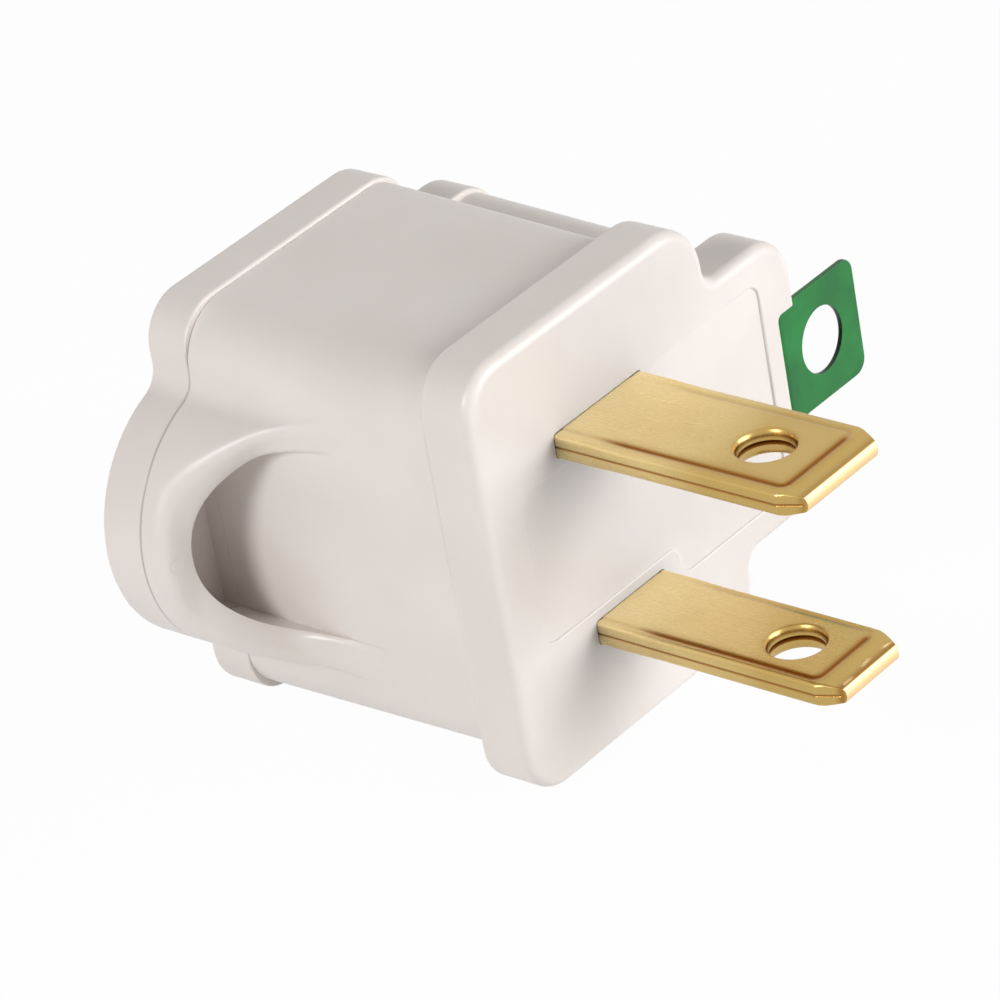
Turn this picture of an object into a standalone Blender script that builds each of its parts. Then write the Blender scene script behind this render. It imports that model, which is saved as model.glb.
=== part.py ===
"""Grounding plug adapter: a two-blade plug with a three-hole socket behind it.

Millimetres in the constants, metres in the meshes.
+X runs out of the blade face along the blades, +Y towards the ground tab, +Z across
the two blades. The origin lies between the blades, on the floor of the label recess.
"""
import bpy
import bmesh
from math import sin, cos, tan, radians, sqrt, atan2, pi, hypot

MM = 0.001

# Fits
CLEAR = 0.3            # gap between neighbouring pieces
SEAM_GAP = 0.3         # joint between housing and face cover
CUT_OVER = 1.0         # how far a cutter runs past the face it opens

# Plug blades and socket pattern
BLADE_PITCH = 12.7     # between blade centres
GROUND_OFFSET = 11.9   # ground socket axis from the plane of the blades
SHEET = 0.76           # brass strip, one layer
FOLD_GAP = 0.06        # left between the two layers of a folded blade
BLADE_LENGTH = 17.15   # tip from the rim of the blade face
NEUTRAL_WIDTH = 7.94
HOT_WIDTH = 6.35
BLADE_HOLE_DIA = 3.96
BLADE_HOLE_X = 11.8    # hole axis from the rim of the blade face
TIP_CHAMFER_LENGTH = 1.8
TIP_CHAMFER_DEPTH = 0.75
TIP_TAPER = 1.35       # the blade thins over this length, to enter a slot easily
TIP_NOSE_LENGTH = 0.42
TIP_NOSE_HALF = 0.47   # half the thickness where the round nose starts

# Blade face flange
RIM = 0.15             # rim of the blade face above the label recess
FLANGE_THICK = 3.6
FLANGE_NEAR = -10.45
FLANGE_FAR = 10.8
FLANGE_GROUND = 18.22
FLANGE_HALF = 13.8
FLANGE_GROUND_HALF = 9.0
FLANGE_R_NEAR = 3.0
FLANGE_R_FAR = 3.5
FLANGE_R_GROUND = 2.85
FLANGE_R_STEP = 1.0
FLANGE_EDGE = 0.72     # rounding of the front edge
FLANGE_BACK_EDGE = 0.25

# Housing behind the flange
SEAM_X = -21.35        # middle of the joint with the face cover
HOUSE_NEAR = -9.9
HOUSE_FAR = 10.0
HOUSE_GROUND = 17.45
HOUSE_HALF = 12.82     # at the joint
HOUSE_GROUND_HALF = 8.25
HOUSE_DRAFT = 0.35     # each side loses this up to the flange
HOUSE_R_NEAR = 3.5
HOUSE_R_FAR = 2.9
HOUSE_R_GROUND = 2.6
HOUSE_R_STEP = 0.6
ROOT_FILLET = 0.6      # between housing and flange
WALL = 1.7
WEB = 1.8              # walls between the chambers
FRONT_WALL = 3.1
CHAMBER_R = 1.2

# Label recess
RECESS_NEAR = -7.4
RECESS_STEP = 4.75
RECESS_FAR = 14.95
RECESS_HALF_NARROW = 4.85
RECESS_HALF_WIDE = 6.95
RECESS_R = 0.9

# Finger grip
GRIP_R = 8.45          # outer radius of the grip
GRIP_AXIS_Y = -7.95
GRIP_WALL = 1.95
GRIP_BLEND = 1.9       # hollow fillet between grip and housing
GRIP_FACE_X = -19.5    # upright front of the grip, above the ramp
GRIP_SLOPE = 42.0      # ramp below it, degrees
GRIP_TOE_X = -14.2     # where the ramp's line would meet the housing's side
GRIP_TOE_R = 6.0       # the ramp runs out into the side on this radius
GRIP_SINK = 0.03       # the end of that radius lies this far under the side
GRIP_FLOOR_X = -22.6   # the grip hollow runs this far back, into the cover

# Face cover
COVER_BACK = -24.45
COVER_HALF = 13.05
COVER_GROUND_HALF = 8.65
COVER_FAR = 10.22
COVER_GROUND = 17.6
COVER_R_CORNER = 2.9
COVER_R_GROUND = 3.0
COVER_R_STEP = 0.8
COVER_EDGE = 0.4
COVER_FRONT_EDGE = 0.12
SLOT_PLAY = 0.4        # socket slots are wider than a blade by this, each side
SLOT_THICK = 2.1
GROUND_HOLE_WIDTH = 5.3
GROUND_HOLE_FLAT = 2.5  # from the socket axis to the flat side
SPIGOT_HEIGHT = 1.2    # lip of the cover inside the chambers
SPIGOT_WALL = 0.9
HOLE_MARGIN = 0.15     # from the ground hole to the lip around it

# Inner ends of the blade strips
JAW_WIDTH = 6.0
JAW_START = -4.2       # the layers part behind the front wall
JAW_OPEN = 1.0         # half gap behind the root
JAW_GRIP = 0.62        # half gap where they grip
JAW_GRIP_X = -17.0
JAW_LIP = 1.3          # half gap at the mouth
JAW_END = -19.9

# Ground strip
STRIP = 0.33
STRIP_HALF = 3.85
NOTCH_HALF = 3.97
NOTCH_FLOOR = 16.35
NOTCH_R_IN = 0.4
NOTCH_R_OUT = 0.55
STRIP_Y = 16.5         # inner face of the strip where it leaves the housing
TAB_FACE_BACK = 0.72   # tab front face behind the rim
TAB_END = 24.4
TAB_BEND_R = 0.7       # inner radius
TAB_CORNER = 0.95
TAB_HOLE_Y = 20.8
TAB_HOLE_LONG = 4.2    # the hole is a little longer along Z than along Y
TAB_HOLE_SHORT = 3.84
JOGGLE_BACK = -3.4     # the strip steps out here, from the chamber into the notch
JOGGLE_FRONT = -2.3
PASSAGE_FRONT = -1.75  # the notch is deeper behind this, for the step
CLIP_GAP = 4.4         # between the two leaves
CLIP_LEAF = 0.45
CLIP_BACK = -20.0
CLIP_FRONT = -10.5
CLIP_REACH = 3.0       # leaves run this far past the socket axis
CLIP_LIP = 0.5

ARC_STEPS = 6


def new_collection(name):
    """Make an empty collection in the scene."""
    col = bpy.data.collections.new(name)
    bpy.context.scene.collection.children.link(col)
    return col


def principled(name, rgb, rough, metal=0.0):
    """One plain surface material."""
    mat = bpy.data.materials.new(name)
    mat.use_nodes = True
    shader = mat.node_tree.nodes["Principled BSDF"]
    shader.inputs["Base Color"].default_value = (*rgb, 1.0)
    shader.inputs["Roughness"].default_value = rough
    shader.inputs["Metallic"].default_value = metal
    mat.diffuse_color = (*rgb, 1.0)
    return mat


def dress(obj, col, mat=None):
    """Put an object in its collection: a part with its material, or a cutter without one."""
    col.objects.link(obj)
    if mat:
        obj.data.materials.append(mat)
    else:
        obj.hide_render = True
        obj.display_type = "WIRE"
    return obj


def mesh_from(name, bm):
    """Weld a bmesh, turn its faces outwards and put it in a mesh."""
    bmesh.ops.remove_doubles(bm, verts=bm.verts, dist=1e-7)
    bmesh.ops.recalc_face_normals(bm, faces=bm.faces)
    mesh = bpy.data.meshes.new(name)
    bm.to_mesh(mesh)
    bm.free()
    return mesh


def rounded(corners, steps=ARC_STEPS):
    """Round a closed outline. A corner is (u, v, radius); any turn, left or right."""
    points = []
    count = len(corners)
    for i, (u, v, r) in enumerate(corners):
        pu, pv, _ = corners[i - 1]
        nu, nv, _ = corners[(i + 1) % count]
        a = (pu - u, pv - v)
        b = (nu - u, nv - v)
        la, lb = hypot(*a), hypot(*b)
        a = (a[0] / la, a[1] / la)
        b = (b[0] / lb, b[1] / lb)
        if r <= 0.0:
            points.append((u, v))
            continue
        half = 0.5 * atan2(abs(a[0] * b[1] - a[1] * b[0]), a[0] * b[0] + a[1] * b[1])
        reach = r / tan(half)
        centre = r / sin(half)
        mid = (a[0] + b[0], a[1] + b[1])
        lm = hypot(*mid)
        cu, cv = u + mid[0] / lm * centre, v + mid[1] / lm * centre
        start = atan2(v + a[1] * reach - cv, u + a[0] * reach - cu)
        end = atan2(v + b[1] * reach - cv, u + b[0] * reach - cu)
        sweep = (end - start + pi) % (2 * pi) - pi
        for k in range(steps + 1):
            t = start + sweep * k / steps
            points.append((cu + r * cos(t), cv + r * sin(t)))
    return points


def stepped(near, far, ground, half, ground_half, r_near, r_far, r_ground, r_step, inset=0.0):
    """The housing outline in Y and Z: a wide part, and a narrower one for the ground socket."""
    near, far, ground = near + inset, far - inset, ground - inset
    half, ground_half = half - inset, ground_half - inset
    r_near, r_far = max(r_near - inset, 0.05), max(r_far - inset, 0.05)
    r_ground, r_step = max(r_ground - inset, 0.05), r_step + inset
    return rounded([
        (near, -half, r_near), (far, -half, r_far), (far, -ground_half, r_step),
        (ground, -ground_half, r_ground), (ground, ground_half, r_ground),
        (far, ground_half, r_step), (far, half, r_far), (near, half, r_near)])


def loft(name, rings, col, mat=None):
    """Skin a row of closed rings of equal length and cap both ends."""
    bm = bmesh.new()
    rows = [[bm.verts.new((x * MM, y * MM, z * MM)) for x, y, z in ring] for ring in rings]
    count = len(rows[0])
    for low, high in zip(rows, rows[1:]):
        for i in range(count):
            j = (i + 1) % count
            bm.faces.new((low[i], low[j], high[j], high[i]))
    bm.faces.new(rows[0])
    bm.faces.new(reversed(rows[-1]))
    return dress(bpy.data.objects.new(name, mesh_from(name, bm)), col, mat)


def extruded(name, outline, axis, low, high, col, mat=None, lift=0.0):
    """A flat outline pushed along an axis from low to high, as a filled curve made a mesh.

    The outline is in (y, z) along X, in (x, z) along Y and in (x, y) along Z. Lift raises
    the object in Z, when the outline is drawn about the piece's own middle.
    """
    curve = bpy.data.curves.new("outline", "CURVE")
    curve.dimensions = "2D"
    curve.fill_mode = "BOTH"
    curve.extrude = (high - low) / 2 * MM
    spline = curve.splines.new("POLY")
    spline.points.add(len(outline) - 1)
    for point, (u, v) in zip(spline.points, outline):
        point.co = (u * MM, v * MM, 0.0, 1.0)
    spline.use_cyclic_u = True
    drawn = bpy.data.objects.new("outline", curve)
    middle = (low + high) / 2 * MM
    drawn.location = {"X": (middle, 0, 0), "Y": (0, middle, 0), "Z": (0, 0, middle)}[axis]
    drawn.location.z += lift * MM
    drawn.rotation_euler = {"X": (pi / 2, 0, pi / 2), "Y": (pi / 2, 0, 0), "Z": (0, 0, 0)}[axis]
    bpy.context.scene.collection.objects.link(drawn)
    bpy.context.view_layer.update()
    filled = bpy.data.meshes.new_from_object(drawn.evaluated_get(bpy.context.evaluated_depsgraph_get()))
    bm = bmesh.new()
    bm.from_mesh(filled)
    bmesh.ops.remove_doubles(bm, verts=bm.verts, dist=1e-7)
    bmesh.ops.dissolve_limit(bm, angle_limit=radians(0.5), verts=bm.verts, edges=bm.edges,
                             use_dissolve_boundaries=False)
    obj = bpy.data.objects.new(name, mesh_from(name, bm))
    obj.location = drawn.location
    obj.rotation_euler = drawn.rotation_euler
    bpy.data.objects.remove(drawn, do_unlink=True)
    bpy.data.curves.remove(curve)
    bpy.data.meshes.remove(filled)
    return dress(obj, col, mat)


def block(name, x0, x1, y0, y1, z0, z1, col):
    """A plain block between two corners."""
    bm = bmesh.new()
    bmesh.ops.create_cube(bm, size=1.0)
    bmesh.ops.scale(bm, vec=((x1 - x0) * MM, (y1 - y0) * MM, (z1 - z0) * MM), verts=bm.verts)
    obj = bpy.data.objects.new(name, mesh_from(name, bm))
    obj.location = ((x0 + x1) / 2 * MM, (y0 + y1) / 2 * MM, (z0 + z1) / 2 * MM)
    return dress(obj, col)


def drill(name, place, axis, across, along, depth, col):
    """A round or oval drill: its two diameters, and its length centred on the place."""
    bm = bmesh.new()
    bmesh.ops.create_cone(bm, cap_ends=True, segments=28, radius1=across / 2 * MM,
                          radius2=across / 2 * MM, depth=depth * MM)
    bmesh.ops.scale(bm, vec=(along / across, 1.0, 1.0), verts=bm.verts)
    obj = bpy.data.objects.new(name, mesh_from(name, bm))
    obj.location = tuple(c * MM for c in place)
    obj.rotation_euler = {"X": (0, pi / 2, 0), "Z": (0, 0, 0)}[axis]
    return dress(obj, col)


def arc(u, v, r, a0, a1, steps=ARC_STEPS):
    """Points on an arc, angles in radians, both ends included."""
    return [(u + r * cos(a0 + (a1 - a0) * k / steps), v + r * sin(a0 + (a1 - a0) * k / steps))
            for k in range(steps + 1)]


def boolean(obj, other, operation):
    """Hang one exact boolean on an object."""
    mod = obj.modifiers.new(operation.title() + " " + other.name, "BOOLEAN")
    mod.solver = "EXACT"
    mod.operation = operation
    mod.object = other


def round_rim(obj, x_side, width, segments):
    """Round the rim at one end of a piece extruded along X: +1 for the front, -1 for the back."""
    group = obj.vertex_groups.new(name="front rim" if x_side > 0 else "back rim")
    group.add([v.index for v in obj.data.vertices if v.co.z * x_side > 0], 1.0, "REPLACE")
    mod = obj.modifiers.new("Round " + group.name, "BEVEL")
    mod.width = width * MM
    mod.segments = segments
    mod.limit_method = "VGROUP"
    mod.vertex_group = group.name
    mod.loop_slide = False


def blades():
    """Both blades: name, centre height, width."""
    return (("neutral", BLADE_PITCH / 2, NEUTRAL_WIDTH), ("hot", -BLADE_PITCH / 2, HOT_WIDTH))


# Housing
def housing_ring(x, inset=0.0):
    """The outline of the housing behind the flange; it narrows towards the flange."""
    share = (x - SEAM_X) / (RIM - FLANGE_THICK - SEAM_X)
    drop = HOUSE_DRAFT * share
    return stepped(HOUSE_NEAR, HOUSE_FAR - drop, HOUSE_GROUND - drop, HOUSE_HALF - drop,
                   HOUSE_GROUND_HALF - drop, HOUSE_R_NEAR, HOUSE_R_FAR, HOUSE_R_GROUND,
                   HOUSE_R_STEP, inset)


def flange_ring(inset):
    """The outline of the flange."""
    return stepped(FLANGE_NEAR, FLANGE_FAR, FLANGE_GROUND, FLANGE_HALF, FLANGE_GROUND_HALF,
                   FLANGE_R_NEAR, FLANGE_R_FAR, FLANGE_R_GROUND, FLANGE_R_STEP, inset)


def housing_rings():
    """Sections of housing and flange, from the joint to the blade face."""
    back = RIM - FLANGE_THICK
    rings = []
    for x in (SEAM_X + SEAM_GAP / 2, -16.0, -10.0, back - ROOT_FILLET):
        rings.append([(x, y, z) for y, z in housing_ring(x)])
    for k in (1, 2):
        t = radians(30 * k)
        x = back - ROOT_FILLET * (1 - sin(t))
        rings.append([(x, y, z) for y, z in housing_ring(x, -ROOT_FILLET * (1 - cos(t)))])
    rings.append([(back, y, z) for y, z in flange_ring(FLANGE_BACK_EDGE)])
    rings.append([(back + FLANGE_BACK_EDGE, y, z) for y, z in flange_ring(0.0)])
    for k in range(5):
        t = radians(22.5 * k)
        x = RIM - FLANGE_EDGE * (1 - sin(t))
        rings.append([(x, y, z) for y, z in flange_ring(FLANGE_EDGE * (1 - cos(t)))])
    return rings


def grip_outline():
    """Half the grip's outline in Y and Z, from its fillet on the housing's side to its crown."""
    reach = GRIP_AXIS_Y - HOUSE_NEAR
    foot = sqrt((GRIP_R + GRIP_BLEND) ** 2 - (reach + GRIP_BLEND) ** 2)
    toe = atan2(foot, -(reach + GRIP_BLEND))
    fillet = arc(HOUSE_NEAR - GRIP_BLEND, foot, GRIP_BLEND, 0.0, toe - pi)
    return fillet + arc(GRIP_AXIS_Y, 0.0, GRIP_R, toe, pi, 2 * ARC_STEPS)[1:]


def mirrored(half):
    """Close a half outline with its mirror image in Z."""
    return half + [(y, -z) for y, z in reversed(half[:-1])]


def grip_front():
    """The grip seen along Z: an upright face, a ramp, and a radius into the housing's side."""
    slope = radians(GRIP_SLOPE)
    side = HOUSE_NEAR + GRIP_SINK
    back = SEAM_X + SEAM_GAP / 2
    top = GRIP_AXIS_Y - GRIP_R - CUT_OVER
    knee = HOUSE_NEAR - (GRIP_TOE_X - GRIP_FACE_X) * tan(slope)
    end = GRIP_TOE_X + GRIP_SINK / tan(slope) + GRIP_TOE_R * tan(slope / 2)
    toe = arc(end, side - GRIP_TOE_R, GRIP_TOE_R, pi / 2 + slope, pi / 2, 2 * ARC_STEPS)
    return [(back, HOUSE_NEAR + WALL / 2), (back, top), (GRIP_FACE_X, top), (GRIP_FACE_X, knee),
            *toe, (end, HOUSE_NEAR + WALL / 2)]


def finger_space():
    """The hollow under the grip, in Y and Z."""
    r = GRIP_R - GRIP_WALL
    a = atan2(sqrt(r ** 2 - (HOUSE_NEAR - GRIP_AXIS_Y) ** 2), HOUSE_NEAR - GRIP_AXIS_Y)
    return arc(GRIP_AXIS_Y, 0.0, r, a, 2 * pi - a, 28)


def make_grip(cuts):
    """The raised grip on the near side of the housing, hollowed for a finger."""
    half = grip_outline()
    root = [(HOUSE_NEAR + WALL / 2, half[0][1])]
    back, end = SEAM_X + SEAM_GAP / 2, GRIP_TOE_X + GRIP_TOE_R
    grip = extruded("add_grip", mirrored(root + half), "X", back, end, cuts)
    front = extruded("keep_grip_front", grip_front(), "Z", -GRIP_R - GRIP_BLEND, GRIP_R + GRIP_BLEND, cuts)
    boolean(grip, front, "INTERSECT")
    hollow = extruded("cut_finger_space", finger_space(), "X", back - CUT_OVER, end + CUT_OVER, cuts)
    boolean(grip, hollow, "DIFFERENCE")
    return grip


def chamber(near, far, low, high, inset=0.0):
    """Corners of one chamber in Y and Z."""
    r = max(CHAMBER_R - inset, 0.1)
    return rounded([(near + inset, low + inset, r), (far - inset, low + inset, r),
                    (far - inset, high - inset, r), (near + inset, high - inset, r)])


def chambers(inset=0.0):
    """Outlines of the three chambers, which follow the walls around them."""
    half = HOUSE_HALF - HOUSE_DRAFT - WALL
    near = HOUSE_NEAR + WALL
    ground_near = GROUND_OFFSET - GROUND_HOLE_WIDTH / 2 - HOLE_MARGIN - SPIGOT_WALL - CLEAR
    far = ground_near - WEB
    ground_far = NOTCH_FLOOR
    ground_half = HOUSE_GROUND_HALF - HOUSE_DRAFT - WALL
    return {
        "neutral": chamber(near, far, WEB / 2, half, inset),
        "hot": chamber(near, far, -half, -WEB / 2, inset),
        "ground": chamber(ground_near, ground_far, -ground_half, ground_half, inset)}


def recess_outline():
    """The label recess: narrow between the blades, wide beyond them."""
    r = RECESS_R
    return rounded([
        (RECESS_NEAR, -RECESS_HALF_NARROW, r), (RECESS_STEP, -RECESS_HALF_NARROW, r),
        (RECESS_STEP, -RECESS_HALF_WIDE, r), (RECESS_FAR, -RECESS_HALF_WIDE, r),
        (RECESS_FAR, RECESS_HALF_WIDE, r), (RECESS_STEP, RECESS_HALF_WIDE, r),
        (RECESS_STEP, RECESS_HALF_NARROW, r), (RECESS_NEAR, RECESS_HALF_NARROW, r)], 4)


def notch_outline():
    """The notch in the far edge of the flange, where the ground strip comes out."""
    out = FLANGE_GROUND + 0.03
    return rounded([
        (NOTCH_FLOOR, -NOTCH_HALF, NOTCH_R_IN), (out, -NOTCH_HALF, NOTCH_R_OUT),
        (out, -NOTCH_HALF - 1.0, 0.0), (out + 1.5, -NOTCH_HALF - 1.0, 0.0),
        (out + 1.5, NOTCH_HALF + 1.0, 0.0), (out, NOTCH_HALF + 1.0, 0.0),
        (out, NOTCH_HALF, NOTCH_R_OUT), (NOTCH_FLOOR, NOTCH_HALF, NOTCH_R_IN)], 4)


def make_housing(col, cuts, mat):
    """The moulded housing: flange, walls, chambers, grip, slots and notch."""
    body = loft("housing", housing_rings(), col, mat)
    boolean(body, make_grip(cuts), "UNION")
    front = RIM - FRONT_WALL
    for name, outline in chambers().items():
        boolean(body, extruded("cut_chamber_" + name, outline, "X", SEAM_X - CUT_OVER, front, cuts),
                "DIFFERENCE")
    for name, z, width in blades():
        half, thick = width / 2 + CLEAR, SHEET + FOLD_GAP / 2 + CLEAR
        boolean(body, block("cut_slot_" + name, front - CUT_OVER, RIM + CUT_OVER, -half, half,
                            z - thick, z + thick, cuts), "DIFFERENCE")
    passage = block("cut_passage", front - CLEAR, PASSAGE_FRONT, NOTCH_FLOOR - 2 * CLEAR - STRIP,
                    NOTCH_FLOOR + CLEAR, -STRIP_HALF - CLEAR / 3, STRIP_HALF + CLEAR / 3, cuts)
    boolean(body, passage, "DIFFERENCE")
    boolean(body, extruded("cut_notch", notch_outline(), "X", RIM - FLANGE_THICK - 0.05, RIM + CUT_OVER,
                           cuts), "DIFFERENCE")
    boolean(body, extruded("cut_recess", recess_outline(), "X", 0.0, RIM + CUT_OVER, cuts), "DIFFERENCE")
    return body


# Face cover
def cover_outline():
    """The cover in Y and Z: the stepped outline with the grip's bulge on its near side."""
    half, ground_half = COVER_HALF, COVER_GROUND_HALF
    rest = rounded([
        (HOUSE_NEAR, 0.0, 0.0), (HOUSE_NEAR, -half, COVER_R_CORNER), (COVER_FAR, -half, COVER_R_CORNER),
        (COVER_FAR, -ground_half, COVER_R_STEP), (COVER_GROUND, -ground_half, COVER_R_GROUND),
        (COVER_GROUND, ground_half, COVER_R_GROUND), (COVER_FAR, ground_half, COVER_R_STEP),
        (COVER_FAR, half, COVER_R_CORNER), (HOUSE_NEAR, half, COVER_R_CORNER)])[1:]
    return mirrored(grip_outline()) + rest


def ground_hole_outline(grow=0.0):
    """The ground socket: round towards the blade slots, flat on the far side."""
    r = GROUND_HOLE_WIDTH / 2 + grow
    flat = GROUND_OFFSET + GROUND_HOLE_FLAT + grow
    return arc(GROUND_OFFSET, 0.0, r, pi / 2, 3 * pi / 2, 12) + [(flat, -r), (flat, r)]


def make_cover(col, cuts, mat):
    """The socket face: two slots and a ground hole, with lips that enter the chambers."""
    front = SEAM_X - SEAM_GAP / 2
    cover = extruded("face_cover", cover_outline(), "X", COVER_BACK, front, col, mat)
    round_rim(cover, -1, COVER_EDGE, 3)
    round_rim(cover, 1, COVER_FRONT_EDGE, 1)
    for name, outline in chambers(CLEAR).items():
        lip = extruded("add_lip_" + name, outline, "X", front - 0.5, front + SPIGOT_HEIGHT, cuts)
        core = extruded("cut_lip_" + name, chambers(CLEAR + SPIGOT_WALL)[name], "X", front,
                        front + SPIGOT_HEIGHT + CUT_OVER, cuts)
        boolean(lip, core, "DIFFERENCE")
        boolean(cover, lip, "UNION")
    for name, z, width in blades():
        half = width / 2 + SLOT_PLAY
        boolean(cover, block("cut_socket_" + name, COVER_BACK - CUT_OVER, front + CUT_OVER, -half, half,
                             z - SLOT_THICK / 2, z + SLOT_THICK / 2, cuts), "DIFFERENCE")
    boolean(cover, extruded("cut_socket_ground", ground_hole_outline(), "X", COVER_BACK - CUT_OVER,
                            front + CUT_OVER, cuts), "DIFFERENCE")
    boolean(cover, extruded("cut_finger_floor", finger_space(), "X", GRIP_FLOOR_X, front + CUT_OVER, cuts),
            "DIFFERENCE")
    return cover


# Blade contacts
def jaw_gap():
    """Half the gap between the two layers, from the mouth forward, as (x, gap)."""
    tight = FOLD_GAP / 2
    rise = JAW_START - 3.6
    return [(JAW_END, JAW_LIP), (JAW_GRIP_X - 1.2, JAW_GRIP + 0.12), (JAW_GRIP_X, JAW_GRIP),
            (JAW_GRIP_X + 1.5, JAW_GRIP + 0.08), (rise, JAW_OPEN), (rise + 0.7, JAW_OPEN - 0.08),
            (JAW_START - 0.7, tight + 0.08), (JAW_START, tight)]


def contact_profile():
    """The folded strip seen from the side, in x and z about the blade's middle."""
    tip = RIM + BLADE_LENGTH
    outer = SHEET + FOLD_GAP / 2
    fold = tip - outer
    upper = [(x, g + SHEET) for x, g in jaw_gap()] + [(tip - TIP_TAPER, outer)]
    nose = [(tip - TIP_NOSE_LENGTH + TIP_NOSE_LENGTH * sin(t), TIP_NOSE_HALF * cos(t))
            for t in (radians(22.5 * k) for k in range(9))]
    lower = [(x, -z) for x, z in reversed(upper)]
    slit = [(x, -g) for x, g in jaw_gap()] + [(fold, -FOLD_GAP / 2), (fold, FOLD_GAP / 2)]
    return upper + nose + lower + slit + [(x, g) for x, g in reversed(jaw_gap())]


def contact_plan(width):
    """The strip seen from above: blade with cut corners, narrower jaws behind."""
    tip = RIM + BLADE_LENGTH
    half, jaw = width / 2, min(JAW_WIDTH, width) / 2
    shoulder = RIM - FRONT_WALL - CLEAR
    return [(JAW_END - 1.0, -jaw), (shoulder, -jaw), (shoulder, -half), (tip - TIP_CHAMFER_LENGTH, -half),
            (tip + 0.05, -half + TIP_CHAMFER_DEPTH), (tip + 0.05, half - TIP_CHAMFER_DEPTH),
            (tip - TIP_CHAMFER_LENGTH, half), (shoulder, half), (shoulder, jaw), (JAW_END - 1.0, jaw)]


def make_contact(name, z, width, col, cuts, mat):
    """One brass strip: a folded blade outside, two gripping leaves inside."""
    strip = extruded(name, contact_profile(), "Y", -width / 2 - 0.5, width / 2 + 0.5, col, mat, z)
    plan = extruded("keep_plan_" + name, contact_plan(width), "Z", -3.0, 3.0, cuts, None, z)
    boolean(strip, plan, "INTERSECT")
    hole = drill("cut_hole_" + name, (RIM + BLADE_HOLE_X, 0.0, z), "Z", BLADE_HOLE_DIA, BLADE_HOLE_DIA,
                 4.0, cuts)
    boolean(strip, hole, "DIFFERENCE")
    return strip


# Ground contact
def band(path, thick):
    """A strip of even thickness along an open path of (u, v) points, to its left."""
    left = []
    count = len(path)
    for i, (u, v) in enumerate(path):
        a = path[max(i - 1, 0)]
        b = path[i]
        c = path[min(i + 1, count - 1)]
        normals = []
        for p, q in ((a, b), (b, c)):
            length = hypot(q[0] - p[0], q[1] - p[1])
            if length > 0:
                normals.append((-(q[1] - p[1]) / length, (q[0] - p[0]) / length))
        nu = sum(n[0] for n in normals) / len(normals)
        nv = sum(n[1] for n in normals) / len(normals)
        scale = thick / (nu * nu + nv * nv)
        left.append((u + nu * scale, v + nv * scale))
    return path + left[::-1]


def ground_profile():
    """The ground strip seen along Z: clip web, step, run through the notch, bend and tab."""
    web = NOTCH_FLOOR - CLEAR - STRIP
    face = RIM - TAB_FACE_BACK
    bend = TAB_BEND_R + STRIP
    path = [(CLIP_BACK, web + STRIP), (JOGGLE_BACK, web + STRIP), (JOGGLE_FRONT, STRIP_Y + STRIP)]
    path += arc(face - bend, STRIP_Y + bend, TAB_BEND_R, -pi / 2, 0.0, 5)
    path += [(face - STRIP, TAB_END)]
    return [(x, y) for x, y in band(path[::-1], STRIP)]


def tab_outline():
    """The strip's outline seen along X, with the tab's rounded corners."""
    half, r = STRIP_HALF, TAB_CORNER
    return rounded([(0.0, -half, 0.0), (TAB_END, -half, r), (TAB_END, half, r), (0.0, half, 0.0)])


def make_ground(col, cuts, mat):
    """One strip: a two-leaf clip inside, a tab bent out over the flange."""
    strip = extruded("ground_contact", ground_profile(), "Z", -STRIP_HALF, STRIP_HALF, col, mat)
    plan = extruded("keep_tab_plan", tab_outline(), "X", CLIP_BACK - 2.0, 2.0, cuts)
    boolean(strip, plan, "INTERSECT")
    hole = drill("cut_tab_hole", (RIM - TAB_FACE_BACK, TAB_HOLE_Y, 0.0), "X", TAB_HOLE_SHORT,
                 TAB_HOLE_LONG, 4.0, cuts)
    boolean(strip, hole, "DIFFERENCE")
    web = NOTCH_FLOOR - CLEAR - STRIP
    half = CLIP_GAP / 2
    near = GROUND_OFFSET - CLIP_REACH
    for side, name in ((-1, "low"), (1, "high")):
        inner, outer = side * half, side * (half + CLIP_LEAF)
        lip = side * (half + CLIP_LIP)
        lip_out = side * (half + CLIP_LIP + CLIP_LEAF)
        leaf = extruded("add_leaf_" + name, [
            (web + STRIP * 0.5, inner), (web + STRIP * 0.5, outer), (near + 0.8, outer),
            (near, lip_out), (near, lip), (near + 0.8, inner)], "X", CLIP_BACK + 0.3, CLIP_FRONT - 0.3, cuts)
        boolean(strip, leaf, "UNION")
    return strip


def main():
    """Clear the scene and build every piece."""
    for obj in list(bpy.data.objects):
        bpy.data.objects.remove(obj, do_unlink=True)
    col = new_collection("grounding_plug_adapter")
    cuts = new_collection("cutters")
    ivory = principled("moulded_plastic", (0.80, 0.77, 0.73), 0.35)
    ivory_cover = principled("moulded_plastic_cover", (0.79, 0.76, 0.72), 0.35)
    brass = principled("brass_neutral", (0.78, 0.58, 0.25), 0.3, 1.0)
    brass_hot = principled("brass_hot", (0.78, 0.58, 0.25), 0.3, 1.0)
    green = principled("green_strip", (0.04, 0.30, 0.09), 0.4)
    make_housing(col, cuts, ivory)
    make_cover(col, cuts, ivory_cover)
    for (name, z, width), mat in zip(blades(), (brass, brass_hot)):
        make_contact(name + "_contact", z, width, col, cuts, mat)
    make_ground(col, cuts, green)


main()
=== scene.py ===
"""Looks of a moulded grounding plug adapter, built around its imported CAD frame.

Sizes are in millimetres in the classes and in metres in the meshes. +X runs out of the
blade face, +Y towards the green tab, +Z across the two blades, as in the CAD.
"""
import logging
from dataclasses import dataclass, field, replace
from enum import Enum
from math import atan2, pi, radians, sqrt
from typing import Callable, Sequence

import bmesh
import bpy
import numpy as np
from mathutils import Matrix, Vector


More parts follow.
